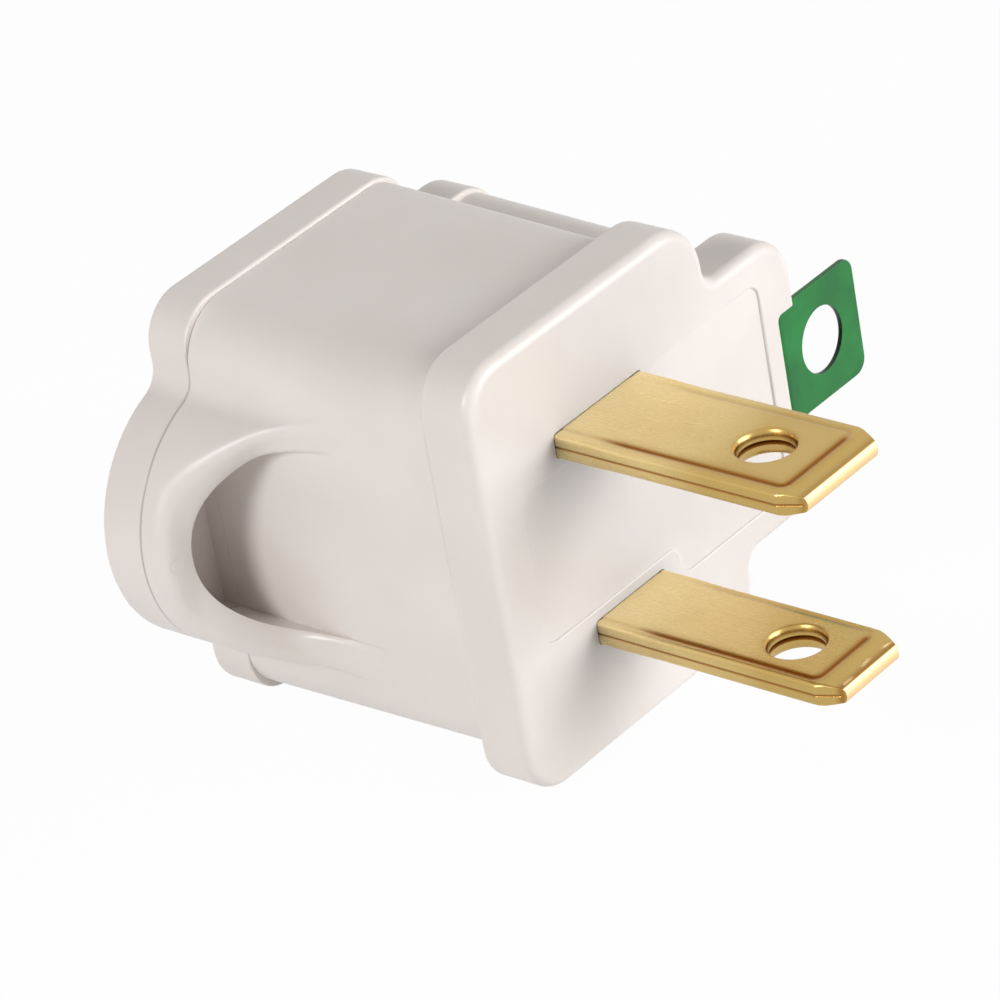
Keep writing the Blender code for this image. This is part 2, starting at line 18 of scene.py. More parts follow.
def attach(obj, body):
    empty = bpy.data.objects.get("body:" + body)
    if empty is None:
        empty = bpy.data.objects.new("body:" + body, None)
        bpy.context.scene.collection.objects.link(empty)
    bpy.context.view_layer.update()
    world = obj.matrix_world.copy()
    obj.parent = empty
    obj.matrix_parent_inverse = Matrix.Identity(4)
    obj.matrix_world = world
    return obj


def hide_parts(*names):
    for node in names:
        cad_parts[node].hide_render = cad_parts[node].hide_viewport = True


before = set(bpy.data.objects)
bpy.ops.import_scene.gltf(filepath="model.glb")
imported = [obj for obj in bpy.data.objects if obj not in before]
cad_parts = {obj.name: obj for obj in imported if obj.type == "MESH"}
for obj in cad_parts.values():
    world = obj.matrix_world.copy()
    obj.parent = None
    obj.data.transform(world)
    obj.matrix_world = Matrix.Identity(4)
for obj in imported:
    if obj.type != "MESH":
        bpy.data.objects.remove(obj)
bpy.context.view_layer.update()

MM = 0.001
MERGE_M = 2e-7              # points closer than this become one
SHARPEST = 0.05             # smallest corner radius of the moulded outlines
NEUTRAL = (6.35, 7.94)      # z and width of the wide blade
HOT = (-6.35, 6.35)         # z and width of the narrow blade
WHITE = (1.0, 1.0, 1.0, 1.0)
LOG = logging.getLogger("adapter")

Corner = tuple[float, float, float]
Object = bpy.types.Object
Material = bpy.types.Material
Tree = bpy.types.NodeTree
Node = bpy.types.Node


class Combine(Enum):
    """What a solid does to the piece it meets."""

    CUT = "DIFFERENCE"
    KEEP = "INTERSECT"


# Outlines and meshes
def rounded(corners: Sequence[Corner], steps: int = 10) -> np.ndarray:
    """Closed outline whose corners are circular arcs.

    Each arc touches both edges of its corner: its centre lies on the corner's bisector at
    radius / sin(half angle), and it starts radius / tan(half angle) before the corner.

    Args:
        corners: (u, v, radius) of each corner in order.
        steps: segments in one arc.

    Returns:
        Points, one row each.
    """
    points = []
    for i, (u, v, r) in enumerate(corners):
        here = np.array([u, v])
        a = np.array(corners[i - 1][:2]) - here
        b = np.array(corners[(i + 1) % len(corners)][:2]) - here
        a, b = a / np.linalg.norm(a), b / np.linalg.norm(b)
        if r <= 0:
            points.append(here[None])
            continue
        half = 0.5 * atan2(abs(a[0] * b[1] - a[1] * b[0]), float(a @ b))
        reach, far = r / np.tan(half), r / np.sin(half)
        centre = here + (a + b) / np.linalg.norm(a + b) * far
        start = here + a * reach - centre
        end = here + b * reach - centre
        t0, t1 = atan2(start[1], start[0]), atan2(end[1], end[0])
        sweep = (t1 - t0 + pi) % (2 * pi) - pi
        t = t0 + sweep * np.linspace(0, 1, steps + 1)
        points.append(centre + r * np.stack([np.cos(t), np.sin(t)], 1))
    return np.concatenate(points)


def mirrored(upper: Sequence[Corner]) -> list[Corner]:
    """Corners of an outline symmetric about v = 0, from those of its upper half."""
    return [(u, -v, r) for u, v, r in upper] + list(reversed(upper))


def box(low: Sequence[float], high: Sequence[float], radius: float, steps: int = 10) -> np.ndarray:
    """Rectangle with rounded corners between its lowest and its highest corner."""
    (u0, v0), (u1, v1) = low, high
    return rounded([(u0, v0, radius), (u1, v0, radius), (u1, v1, radius), (u0, v1, radius)], steps)


def arc(u: float, v: float, r: float, a0: float, a1: float, steps: int) -> np.ndarray:
    """Points of a circular arc from angle a0 to a1 about (u, v), both ends included."""
    t = np.linspace(a0, a1, steps + 1)
    return np.stack([u + r * np.cos(t), v + r * np.sin(t)], 1)


def round_over(radius: float, count: int, turn: float = pi / 2) -> np.ndarray:
    """How far a rounded edge stands off its two faces.

    At angle t it is radius * (1 - cos t) off the one and radius * (1 - sin t) off the other.

    Args:
        radius: radius of the rounding.
        count: number of places, evenly spaced in angle.
        turn: the last angle.

    Returns:
        One row of two distances for each place.
    """
    t = np.linspace(0, turn, count)
    return radius * np.stack([1 - np.cos(t), 1 - np.sin(t)], 1)


def bell(distance: np.ndarray, width: float) -> np.ndarray:
    """A bell curve, 1 at no distance: exp(-(distance / width)^2)."""
    return np.exp(-(distance / width) ** 2)


def ring_at(x: float, outline: np.ndarray) -> np.ndarray:
    """An outline in (y, z) set at one x, as 3-D points."""
    return np.column_stack([np.full(len(outline), x), outline])


def new_object(name: str, data: bpy.types.ID) -> Object:
    """Put a mesh, camera or lamp into the scene.

    Args:
        name: the object's name.
        data: what it shows.

    Returns:
        The object.
    """
    obj = bpy.data.objects.new(name, data)
    bpy.context.scene.collection.objects.link(obj)
    return obj


def new_piece(name: str, verts: np.ndarray, faces: list) -> Object:
    """Put millimetre points and faces into a mesh object with outward faces.

    Args:
        name: the object's name.
        verts: (n, 3) points in millimetres.
        faces: lists of point numbers.

    Returns:
        The object, linked to the scene.
    """
    mesh = bpy.data.meshes.new(name)
    mesh.from_pydata((verts * MM).tolist(), [], faces)
    bm = bmesh.new()
    bm.from_mesh(mesh)
    bmesh.ops.remove_doubles(bm, verts=bm.verts, dist=MERGE_M)
    bmesh.ops.recalc_face_normals(bm, faces=bm.faces)
    bm.to_mesh(mesh)
    bm.free()
    return new_object(name, mesh)


def loft(name: str, rings: Sequence[np.ndarray]) -> Object:
    """Closed solid through a row of closed rings.

    The skin is a function of two parameters, the ring's number and the place round the ring,
    and one flat face closes each end.

    Args:
        name: the object's name.
        rings: the rings in order, all with the same number of points.

    Returns:
        The solid.
    """
    points = np.array(rings)
    rows, cols = points.shape[:2]
    i, j = np.meshgrid(np.arange(rows - 1), np.arange(cols), indexing="ij")
    k = (j + 1) % cols
    quads = np.stack([i * cols + j, i * cols + k, (i + 1) * cols + k, (i + 1) * cols + j], -1)
    ends = [list(range(cols)), list(range((rows - 1) * cols, rows * cols))]
    return new_piece(name, points.reshape(-1, 3), quads.reshape(-1, 4).tolist() + ends)


def prism(name: str, outline: np.ndarray, low: float, high: float, axis: int = 0) -> Object:
    """Straight prism of a flat outline between two levels of one axis."""
    return loft(name, [np.insert(outline, axis, level, axis=1) for level in (low, high)])


def combine(obj: Object, other: Object, how: Combine) -> None:
    """Apply one exact boolean to a piece and throw the other solid away.

    Args:
        obj: the piece that is changed.
        other: the solid that cuts it or limits it.
        how: what the solid does.
    """
    mod = obj.modifiers.new(how.value, "BOOLEAN")
    mod.solver = "EXACT"
    mod.operation = how.value
    mod.object = other
    bake(obj)
    bpy.data.objects.remove(other, do_unlink=True)


def bake(obj: Object) -> None:
    """Replace the object's mesh by what its modifiers make of it.

    Args:
        obj: the object, which loses its modifiers.
    """
    bpy.context.view_layer.update()
    seen = obj.evaluated_get(bpy.context.evaluated_depsgraph_get())
    shape = bpy.data.meshes.new_from_object(seen)
    obj.modifiers.clear()
    old, obj.data = obj.data, shape
    bpy.data.meshes.remove(old)


def soften(obj: Object, width: float, segments: int = 2, angle: float = 40.0) -> None:
    """Round the sharp edges of a plain sheet-metal solid.

    Args:
        obj: the solid.
        width: width of the rounding in millimetres.
        segments: faces across it.
        angle: edges that turn less than this many degrees are left alone.
    """
    mod = obj.modifiers.new("Soft edges", "BEVEL")
    mod.width = width * MM
    mod.segments = segments
    mod.limit_method = "ANGLE"
    mod.angle_limit = radians(angle)
    mod.harden_normals = False
    bake(obj)


def smooth(obj: Object, angle: float = 32.0) -> None:
    """Smooth shading that keeps flats flat and sharp edges sharp.

    Args:
        obj: the finished piece.
        angle: edges that turn more than this many degrees stay sharp.
    """
    obj.data.shade_smooth()
    obj.data.set_sharp_from_angle(angle=radians(angle))
    mod = obj.modifiers.new("Flat faces stay flat", "WEIGHTED_NORMAL")
    mod.weight = 60
    mod.keep_sharp = True


def join(name: str, pieces: Sequence[Object]) -> Object:
    """Several baked pieces as one object.

    Args:
        name: the new object's name.
        pieces: the pieces, which are removed.

    Returns:
        The new object.
    """
    mesh = bpy.data.meshes.new(name)
    bm = bmesh.new()
    for piece in pieces:
        bm.from_mesh(piece.data)
    bm.to_mesh(mesh)
    bm.free()
    for piece in pieces:
        bpy.data.objects.remove(piece, do_unlink=True)
    return new_object(name, mesh)


def mouth_cutter(name: str, outline: Callable[[float], np.ndarray], deep: float, face: float,
                 radius: float, over: float = 1.0) -> Object:
    """Cutter along X whose outline widens in a quarter round where it breaks through a face.

    At distance s inside the face the outline grows by radius - sqrt(radius^2 - (radius - s)^2).

    Args:
        name: name of the cutter.
        outline: gives the (y, z) outline grown by a number of millimetres.
        deep: x of the cutter's inner end.
        face: x of the face that it opens.
        radius: radius of the rounding at the mouth.
        over: how far the cutter runs past the face.

    Returns:
        The cutter.
    """
    out = 1.0 if face > deep else -1.0
    rings = [ring_at(deep, outline(0.0))]
    rings += [ring_at(face - out * s, outline(grow)) for grow, s in round_over(radius, 6)]
    rings.append(ring_at(face + out * over, outline(radius)))
    return loft(name, rings)


# Materials
def linear(code: str) -> tuple[float, float, float, float]:
    """An sRGB hex code as a linear colour with alpha 1.

    Up to 0.04045 a channel is divided by 12.92. Above, 0.055 is added, the sum is divided by
    1.055 and raised to the power 2.4.

    Args:
        code: the code, such as "#808080".

    Returns:
        Red, green, blue and alpha.
    """
    c = np.array([int(code[i:i + 2], 16) for i in (1, 3, 5)]) / 255.0
    low = c / 12.92
    high = ((c + 0.055) / 1.055) ** 2.4
    return (*np.where(c <= 0.04045, low, high).tolist(), 1.0)


def feed(tree: Tree, node: Node, sets: dict | None = None, links: dict | None = None) -> None:
    """Give a node's inputs their values and their links.

    Args:
        tree: the tree that the node is in.
        node: the node.
        sets: input name or number to value.
        links: input name or number to the output socket that feeds it.
    """
    for key, value in (sets or {}).items():
        node.inputs[key].default_value = value
    for key, socket in (links or {}).items():
        tree.links.new(socket, node.inputs[key])


def add(tree: Tree, kind: str, sets: dict | None = None, links: dict | None = None,
        stops: Sequence[tuple[float, str]] = (), **props: object) -> Node:
    """Add one shader node.

    Args:
        tree: the material's node tree.
        kind: the node's type name without the ShaderNode prefix.
        sets: input name or number to value.
        links: input name or number to the output socket that feeds it.
        stops: position and hex code of both stops, where the node has a colour ramp.
        props: the node's own settings.

    Returns:
        The node.
    """
    node = tree.nodes.new("ShaderNode" + kind)
    for key, value in props.items():
        setattr(node, key, value)
    for number, (position, code) in enumerate(stops):
        node.color_ramp.elements[number].position = position
        node.color_ramp.elements[number].color = linear(code)
    feed(tree, node, sets, links)
    return node


def empty_material(name: str) -> tuple[Material, Tree, Node]:
    """Start a node material.

    Args:
        name: the material's name.

    Returns:
        The material, its tree and its Principled shader.
    """
    mat = bpy.data.materials.new(name)
    mat.use_nodes = True
    return mat, mat.node_tree, mat.node_tree.nodes["Principled BSDF"]


@dataclass(frozen=True)
class MouldedPlastic:
    """Off-white ABS, injection moulded in a lightly spark-finished tool.

    The tool leaves a very fine, soft grain, so highlights are broad with a faint sparkle. An
    ejector pin has left its round mark on the front of the grip. A little brown is painted
    into the joint on the near side as shade, standing for the shadow in the seam.
    """

    name: str = "moulded_offwhite_abs"
    colour: str = "#EDE7E3"
    shade: str = "#E6DFDA"
    roughness: float = 0.36
    duller: float = 0.07            # roughness added where the plastic flowed dull
    glossier: float = 0.05          # roughness taken off where it flowed glossy
    grain_mm: float = 0.16          # coarser than a real grain, which is too fine to show
    grain_depth_mm: float = 0.006
    flow_mm: float = 9.0
    flow_span: tuple[float, float] = (0.3, 0.7)
    # painted shade: brown laid along the joint on the near side
    joint_shade: str = "#8F8376"
    joint_x: float = -21.39
    joint_shade_share: float = 0.5
    joint_full_mm: float = 0.03     # brown up to this far from the joint
    joint_none_mm: float = 0.13     # and none past this
    joint_y: tuple[float, float] = (-9.93, -9.8)
    pin: tuple[float, float, float] = (-19.45, -15.6, 0.2)
    pin_mm: float = 0.5
    pin_edge_mm: float = 0.12
    pin_depth_mm: float = 0.05

    def make(self) -> Material:
        """Build the node material.

        Returns:
            The material.
        """
        mat, tree, shader = empty_material(self.name)
        place = add(tree, "TexCoord").outputs["Object"]
        flow = add(tree, "TexNoise", {"Scale": 1 / (self.flow_mm * MM), "Detail": 3.0,
                                      "Roughness": 0.5}, {"Vector": place})
        low, high = self.flow_span
        tint = add(tree, "ValToRGB", links={"Fac": flow.outputs["Fac"]},
                   stops=[(low, self.shade), (high, self.colour)])
        grain = add(tree, "TexNoise", {"Scale": 1 / (self.grain_mm * MM), "Detail": 2.0,
                                       "Roughness": 0.6}, {"Vector": place})
        gloss = add(tree, "MapRange", {"From Min": low, "From Max": high,
                                       "To Min": self.roughness - self.glossier,
                                       "To Max": self.roughness + self.duller},
                    {"Value": flow.outputs["Fac"]})
        bump = add(tree, "Bump", {"Strength": 0.6, "Distance": self.grain_depth_mm * MM},
                   {"Height": grain.outputs["Fac"]})
        away = add(tree, "VectorMath", {1: [c * MM for c in self.pin]}, {0: place},
                   operation="DISTANCE")
        disc = add(tree, "MapRange", {"From Min": (self.pin_mm - self.pin_edge_mm) * MM,
                                      "From Max": self.pin_mm * MM},
                   {"Value": away.outputs["Value"]}, interpolation_type="SMOOTHSTEP")
        mark = add(tree, "Bump", {"Strength": 0.7, "Distance": self.pin_depth_mm * MM},
                   {"Height": disc.outputs["Result"], "Normal": bump.outputs["Normal"]})
        # Painted shade: a brown line along the joint, on the near side only, for the shadow in the
        # seam.
        parts = add(tree, "SeparateXYZ", links={0: place})
        off = add(tree, "Math", {1: self.joint_x * MM}, {0: parts.outputs[0]},
                  operation="SUBTRACT")
        gap = add(tree, "Math", links={0: off.outputs[0]}, operation="ABSOLUTE")
        line = add(tree, "MapRange", {"From Min": self.joint_full_mm * MM,
                                      "From Max": self.joint_none_mm * MM,
                                      "To Min": self.joint_shade_share, "To Max": 0.0},
                   {"Value": gap.outputs[0]}, interpolation_type="SMOOTHSTEP")
        near = add(tree, "MapRange", {"From Min": self.joint_y[0] * MM,
                                      "From Max": self.joint_y[1] * MM,
                                      "To Min": 1.0, "To Max": 0.0},
                   {"Value": parts.outputs[1]})
        both = add(tree, "Math", links={0: line.outputs["Result"], 1: near.outputs["Result"]},
                   operation="MULTIPLY")
        skin = add(tree, "Mix", {7: linear(self.joint_shade)},
                   {0: both.outputs[0], 6: tint.outputs["Color"]}, data_type="RGBA")
        feed(tree, shader, {"IOR": 1.53, "Subsurface Weight": 0.06,
                            "Subsurface Radius": (1.0, 0.8, 0.6), "Subsurface Scale": 0.0006},
             {"Base Color": skin.outputs[2], "Roughness": gloss.outputs["Result"],
              "Normal": mark.outputs["Normal"]})
        return mat


@dataclass(frozen=True)
class RolledBrass:
    """Cartridge brass strip, cold rolled, blanked and coined.

    Rolling leaves very fine lines along the blade. Brown is painted into the coined line, the
    seam between the layers, the hole and the crease before the nose: painted shade where these
    hollows lie in shadow, with a little tarnish. Towards the tip the blade is painted darker, as
    shade for a dimmer reflection there, and the nose and the burrs are painted pale as a
    highlight.
    """

    name: str = "rolled_brass_strip"
    colour: str = "#F8E2A8"
    # painted shade towards the tip, also the dark end of the random stains
    shade_and_stain: str = "#C2A462"
    # painted shade, with a little tarnish, in the hollows
    shade_and_tarnish: str = "#8A5214"
    # painted highlight on the nose and the burrs, for a reflection
    painted_glint: str = "#EDCE9C"
    roughness: float = 0.27
    duller: float = 0.04            # roughness added on the rolling lines
    glossier: float = 0.02          # roughness taken off between them
    glint_duller: float = 0.27       # roughness added where the painted highlight lies
    line_mm: float = 0.12           # coarser than real lines, which are too fine to show
    line_across: float = 0.03       # width of a line as a share of its length
    line_depth_mm: float = 0.004
    line_span: tuple[float, float] = (0.3, 0.7)
    stain_mm: float = 6.0
    stain_share: float = 0.35
    tip_shade_mm: float = 17.0        # length over which the painted shade comes in
    shade_and_stain_span: tuple[float, float] = (0.12, 0.84)

    def make(self) -> Material:
        """Build the node material.

        Returns:
            The material.
        """
        mat, tree, shader = empty_material(self.name)
        place = add(tree, "TexCoord").outputs["Object"]
        stretch = add(tree, "Mapping", {"Scale": (self.line_across, 1.0, 1.0)}, {"Vector": place})
        lines = add(tree, "TexNoise", {"Scale": 1 / (self.line_mm * MM), "Detail": 2.0},
                    {"Vector": stretch.outputs["Vector"]})
        stain = add(tree, "TexNoise", {"Scale": 1 / (self.stain_mm * MM), "Detail": 3.0,
                                       "Roughness": 0.5}, {"Vector": place})
        along = add(tree, "SeparateXYZ", links={0: place})
        # Painted shade: darker towards the tip, for a dimmer reflection there.
        tipward = add(tree, "MapRange", {"From Min": 0.0, "From Max": self.tip_shade_mm * MM},
                   {"Value": along.outputs[0]})
        mixed = add(tree, "Math", {1: self.stain_share}, {0: stain.outputs["Fac"]},
                    operation="MULTIPLY")
        total = add(tree, "Math", links={0: tipward.outputs["Result"], 1: mixed.outputs[0]},
                    operation="ADD")
        tint = add(tree, "ValToRGB", links={"Fac": total.outputs[0]},
                   stops=[(self.shade_and_stain_span[0], self.colour),
                          (self.shade_and_stain_span[1], self.shade_and_stain)])
        # Painted shade, with a little tarnish, read from the mesh.
        shade_mask = add(tree, "Attribute", attribute_name="shade_and_tarnish")
        coat = add(tree, "Mix", {7: linear(self.shade_and_tarnish)},
                   {0: shade_mask.outputs["Fac"], 6: tint.outputs["Color"]}, data_type="RGBA")
        # Painted highlight: pale metal on the nose and burrs, read from the mesh.
        glint_mask = add(tree, "Attribute", attribute_name="painted_glint")
        skin = add(tree, "Mix", {7: linear(self.painted_glint)},
                   {0: glint_mask.outputs["Fac"], 6: coat.outputs[2]}, data_type="RGBA")
        gloss = add(tree, "MapRange", {"From Min": self.line_span[0],
                                       "From Max": self.line_span[1],
                                       "To Min": self.roughness - self.glossier,
                                       "To Max": self.roughness + self.duller},
                    {"Value": lines.outputs["Fac"]})
        dull = add(tree, "Math", {1: self.glint_duller},
                   {0: glint_mask.outputs["Fac"], 2: gloss.outputs["Result"]},
                   operation="MULTIPLY_ADD")
        bump = add(tree, "Bump", {"Strength": 0.06, "Distance": self.line_depth_mm * MM},
                   {"Height": lines.outputs["Fac"]})
        feed(tree, shader, {"Metallic": 1.0},
             {"Base Color": skin.outputs[2], "Roughness": dull.outputs[0],
              "Normal": bump.outputs["Normal"]})
        return mat


@dataclass(frozen=True)
class GreenLacquer:
    """Green lacquer dipped over the steel ground strip: smooth, glossy and slightly uneven.

    It has drawn back from the blanked edges, which look nearly black.
    """

    name: str = "green_lacquered_strip"
    colour: str = "#0C7F34"
    deep: str = "#086A2B"
    edge: str = "#16301F"
    roughness: float = 0.36
    run_mm: float = 3.0
    run_span: tuple[float, float] = (0.35, 0.65)
    peel_mm: float = 0.5
    peel_depth_mm: float = 0.01

    def make(self) -> Material:
        """Build the node material.

        Returns:
            The material.
        """
        mat, tree, shader = empty_material(self.name)
        place = add(tree, "TexCoord").outputs["Object"]
        run = add(tree, "TexNoise", {"Scale": 1 / (self.run_mm * MM), "Detail": 3.0},
                  {"Vector": place})
        tint = add(tree, "ValToRGB", links={"Fac": run.outputs["Fac"]},
                   stops=[(self.run_span[0], self.deep), (self.run_span[1], self.colour)])
        peel = add(tree, "TexNoise", {"Scale": 1 / (self.peel_mm * MM), "Detail": 1.0},
                   {"Vector": place})
        bump = add(tree, "Bump", {"Strength": 0.3, "Distance": self.peel_depth_mm * MM},
                   {"Height": peel.outputs["Fac"]})
        rim = add(tree, "Attribute", attribute_name="cut_edge")
        thin = add(tree, "Mix", {7: linear(self.edge)},
                   {0: rim.outputs["Fac"], 6: tint.outputs["Color"]}, data_type="RGBA")
        feed(tree, shader, {"Roughness": self.roughness, "Coat Weight": 0.04,
                            "Coat Roughness": 0.1, "IOR": 1.42},
             {"Base Color": thin.outputs[2], "Normal": bump.outputs["Normal"]})
        return mat


class Piece:
    """A piece of the adapter that stands for one node of the CAD."""

    def build(self) -> Object:
        """Make the piece's mesh object."""
        raise NotImplementedError

    def dress(self, mat: Material, node: str, slot: str) -> None:
        """Build the piece, give it its finish and let it stand for its CAD node.

        Args:
            mat: the finish.
            node: the CAD node that the piece replaces.
            slot: not used.
        """
        obj = self.build()
        obj.data.materials.clear()
        obj.data.materials.append(mat)
        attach(obj, "root")
        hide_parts(node)
        LOG.info("%s stands for %s, %d faces", obj.name, node, len(obj.data.polygons))


# Housing
@dataclass
class SteppedOutline:
    """A wide part and a narrower ground part, in (y, z), symmetric about z = 0."""

    near: float
    far: float
    ground: float
    half: float
    ground_half: float
    r_near: float
    r_far: float
    r_ground: float
    r_step: float

    def corners(self, inset: float = 0.0, near_inset: float | None = None) -> list[Corner]:
        """The eight corners, from the lower near one round to the upper near one.

        Args:
            inset: how far the outline is drawn in.
            near_inset: how far its near side is drawn in, where that differs.

        Returns:
            (y, z, radius) of each corner.
        """
        near = self.near + (inset if near_inset is None else near_inset)
        far, ground = self.far - inset, self.ground - inset
        half, gh = self.half - inset, self.ground_half - inset
        rn, rf, rg = (max(r - inset, SHARPEST) for r in (self.r_near, self.r_far, self.r_ground))
        return mirrored([(near, half, rn), (far, half, rf), (far, gh, self.r_step + inset),
                         (ground, gh, rg)])

    def ring(self, x: float, inset: float, columns: np.ndarray) -> np.ndarray:
        """The outline at x, with fixed z columns along its near side.

        Args:
            x: where the ring stands.
            inset: how far the outline is drawn in.
            columns: z of the near side's points, falling.

        Returns:
            The ring's 3-D points.
        """
        rest = rounded(self.corners(inset))
        side = np.column_stack([np.full(len(columns), self.near + inset), columns])
        return ring_at(x, np.concatenate([side, rest]))


@dataclass
class Grip:
    """The half-round finger grip: a cylinder about X that a sloping front cuts off."""

    near: float = -9.9
    axis: float = -7.95
    radius: float = 8.45
    wall: float = 1.95
    blend: float = 1.5
    columns_to: float = 8.8     # the fixed columns of the housing's side end at this z
    slope_x: float = -15.0      # the sloping front would meet the housing's side here
    slope_cos: float = 0.7071   # cosine of the slope's 45 degrees
    upright_x: float = -19.6    # the front stands upright above the slope
    knee: float = 0.5           # softness of the turn between slope and upright front
    toe_high: float = 1.9       # below this height the front runs out into the side
    toe_run: float = 3.6        # how far it runs out
    flare: float = 0.9          # the slope lies further forward by this per mm of radius
    flare_span: tuple[float, float] = (-1.0, 2.4)
    flare_loss: float = 0.16    # the flare falls by this per mm of height
    loss_from: float = 1.2
    loss_over: float = 4.3
    crest: float = 0.75         # rounding between the outside and the front
    rim: float = 0.45           # rounding at the edge of the finger space
    rim_share: float = 0.8
    tallest: float = 7.0
    halvings: int = 36
    floor_slope: float = 0.014  # slope of the finger space's floor
    floor_from: float = -9.5    # x where that floor meets the housing's side

    @property
    def inside(self) -> float:
        """Radius of the finger space."""
        return self.radius - self.wall

    @property
    def depth(self) -> float:
        """How far the axis lies behind the housing's near side."""
        return self.axis - self.near

    @property
    def foot(self) -> float:
        """The z at which the blend meets the housing's side."""
        return sqrt((self.radius + self.blend) ** 2 - (self.depth + self.blend) ** 2)

    def columns(self, step: float) -> np.ndarray:
        """The z of evenly spaced points on the grip's outline.

        They are radius * sin(t) on the cylinder and foot - blend * sin(u) on the blend.

        Args:
            step: distance between points.

        Returns:
            The z values, falling.
        """
        z1 = self.foot * self.radius / (self.radius + self.blend)
        turn = np.arcsin(z1 / self.radius)
        t = np.linspace(-turn, turn, int(2 * turn * self.radius / step))
        bend = np.arcsin((self.foot - z1) / self.blend)
        u = np.linspace(bend, 0, int(bend * self.blend / step) + 2)[1:]
        outer = self.foot - self.blend * np.sin(u)
        keep = outer[outer < self.columns_to]
        return np.concatenate([keep[::-1], self.radius * np.sin(t[::-1]), -keep])

    def outside(self, h: np.ndarray, z: np.ndarray) -> np.ndarray:
        """Distance outside the cylinder and its hollow blend, at height h over the side.

        Within the cylinder's stretch it is the distance from the axis less the radius. Within
        the blend it is the blend radius less the distance from the blend's own axis. The two
        are equal on the line through both axes, where one takes over from the other.

        Args:
            h: heights over the housing's side.
            z: places across it.

        Returns:
            The distances, negative inside.
        """
        z = np.abs(z)
        body = np.hypot(h + self.depth, z) - self.radius
        low, high = np.minimum(h - self.blend, 0), np.maximum(h - self.blend, 0)
        hollow = self.blend - np.hypot(low, np.minimum(z - self.foot, 0)) + high
        on_body = z * (self.blend + self.depth) < self.foot * (h + self.depth)
        return np.where(on_body, body, hollow)

    def front(self, h: np.ndarray, z: np.ndarray) -> np.ndarray:
        """x of the front at height h: a 45 degree slope with a long toe, then an upright face.

        The toe is a cubic that leaves the slope smoothly and meets the side almost flat. The
        turn from the slope to the upright face is the smooth maximum
        (v + sqrt(v^2 + knee^2)) / 2.

        Args:
            h: heights over the housing's side.
            z: places across it.

        Returns:
            The x values.
        """
        toe = self.toe_run * np.clip(1 - h / self.toe_high, 0, 1) ** 3
        lean = np.clip(np.hypot(h + self.depth, z) - self.inside, *self.flare_span)
        flare = self.flare - self.flare_loss * np.clip(h - self.loss_from, 0.0, self.loss_over)
        v = self.slope_x - h + toe + flare * lean - self.upright_x
        return self.upright_x + 0.5 * (v + np.sqrt(v ** 2 + self.knee ** 2))

    def height(self, x: np.ndarray, z: np.ndarray) -> np.ndarray:
        """Height of the grip over the housing's side, by bisection on a rounded intersection.

        With a and b the distances outside the cylinder and outside the front, the rounded
        solid is where hypot(max(a + r, 0), max(b + r, 0)) + min(max(a + r, b + r), 0) < r.

        Args:
            x: places along the housing.
            z: places across it.

        Returns:
            The heights, 0 where there is no grip.
        """
        shape, r = np.broadcast(x, z).shape, self.crest
        low, high = np.zeros(shape), np.full(shape, self.tallest)
        for _ in range(self.halvings):
            h = 0.5 * (low + high)
            a = self.outside(h, z) + r
            b = (x - self.front(h, z)) * self.slope_cos + r
            value = np.hypot(np.maximum(a, 0), np.maximum(b, 0)) - r
            value += np.minimum(np.maximum(a, b), 0)
            low, high = np.where(value < 0, h, low), np.where(value < 0, high, h)
        nothing, thin = 1e-4, 0.02
        h = np.where(low < nothing, 0.0, low)
        edge = np.clip(np.hypot(h + self.depth, z) - self.inside, 0, self.rim)
        drop = self.rim - np.sqrt(self.rim ** 2 - (self.rim - edge) ** 2)
        return np.where(h > thin, np.maximum(h - self.rim_share * drop, 0), h)

    def finger_space(self, back: float, front: float) -> Object:
        """The cutter for the finger space: a half-round prism with a slightly sloping floor.

        Args:
            back: x of its inner end.
            front: x of its open end.

        Returns:
            The cutter.
        """
        x = np.array([back, 0.5 * (back + front), front])
        floor = self.near + self.floor_slope * (self.floor_from - x)
        rings = []
        for station, y in zip(x, floor):
            a = np.arccos((y - self.axis) / self.inside)
            curve = arc(self.axis, 0.0, self.inside, a, 2 * pi - a, 120)
            rings.append(ring_at(station, curve))
        return loft("finger_space", rings)


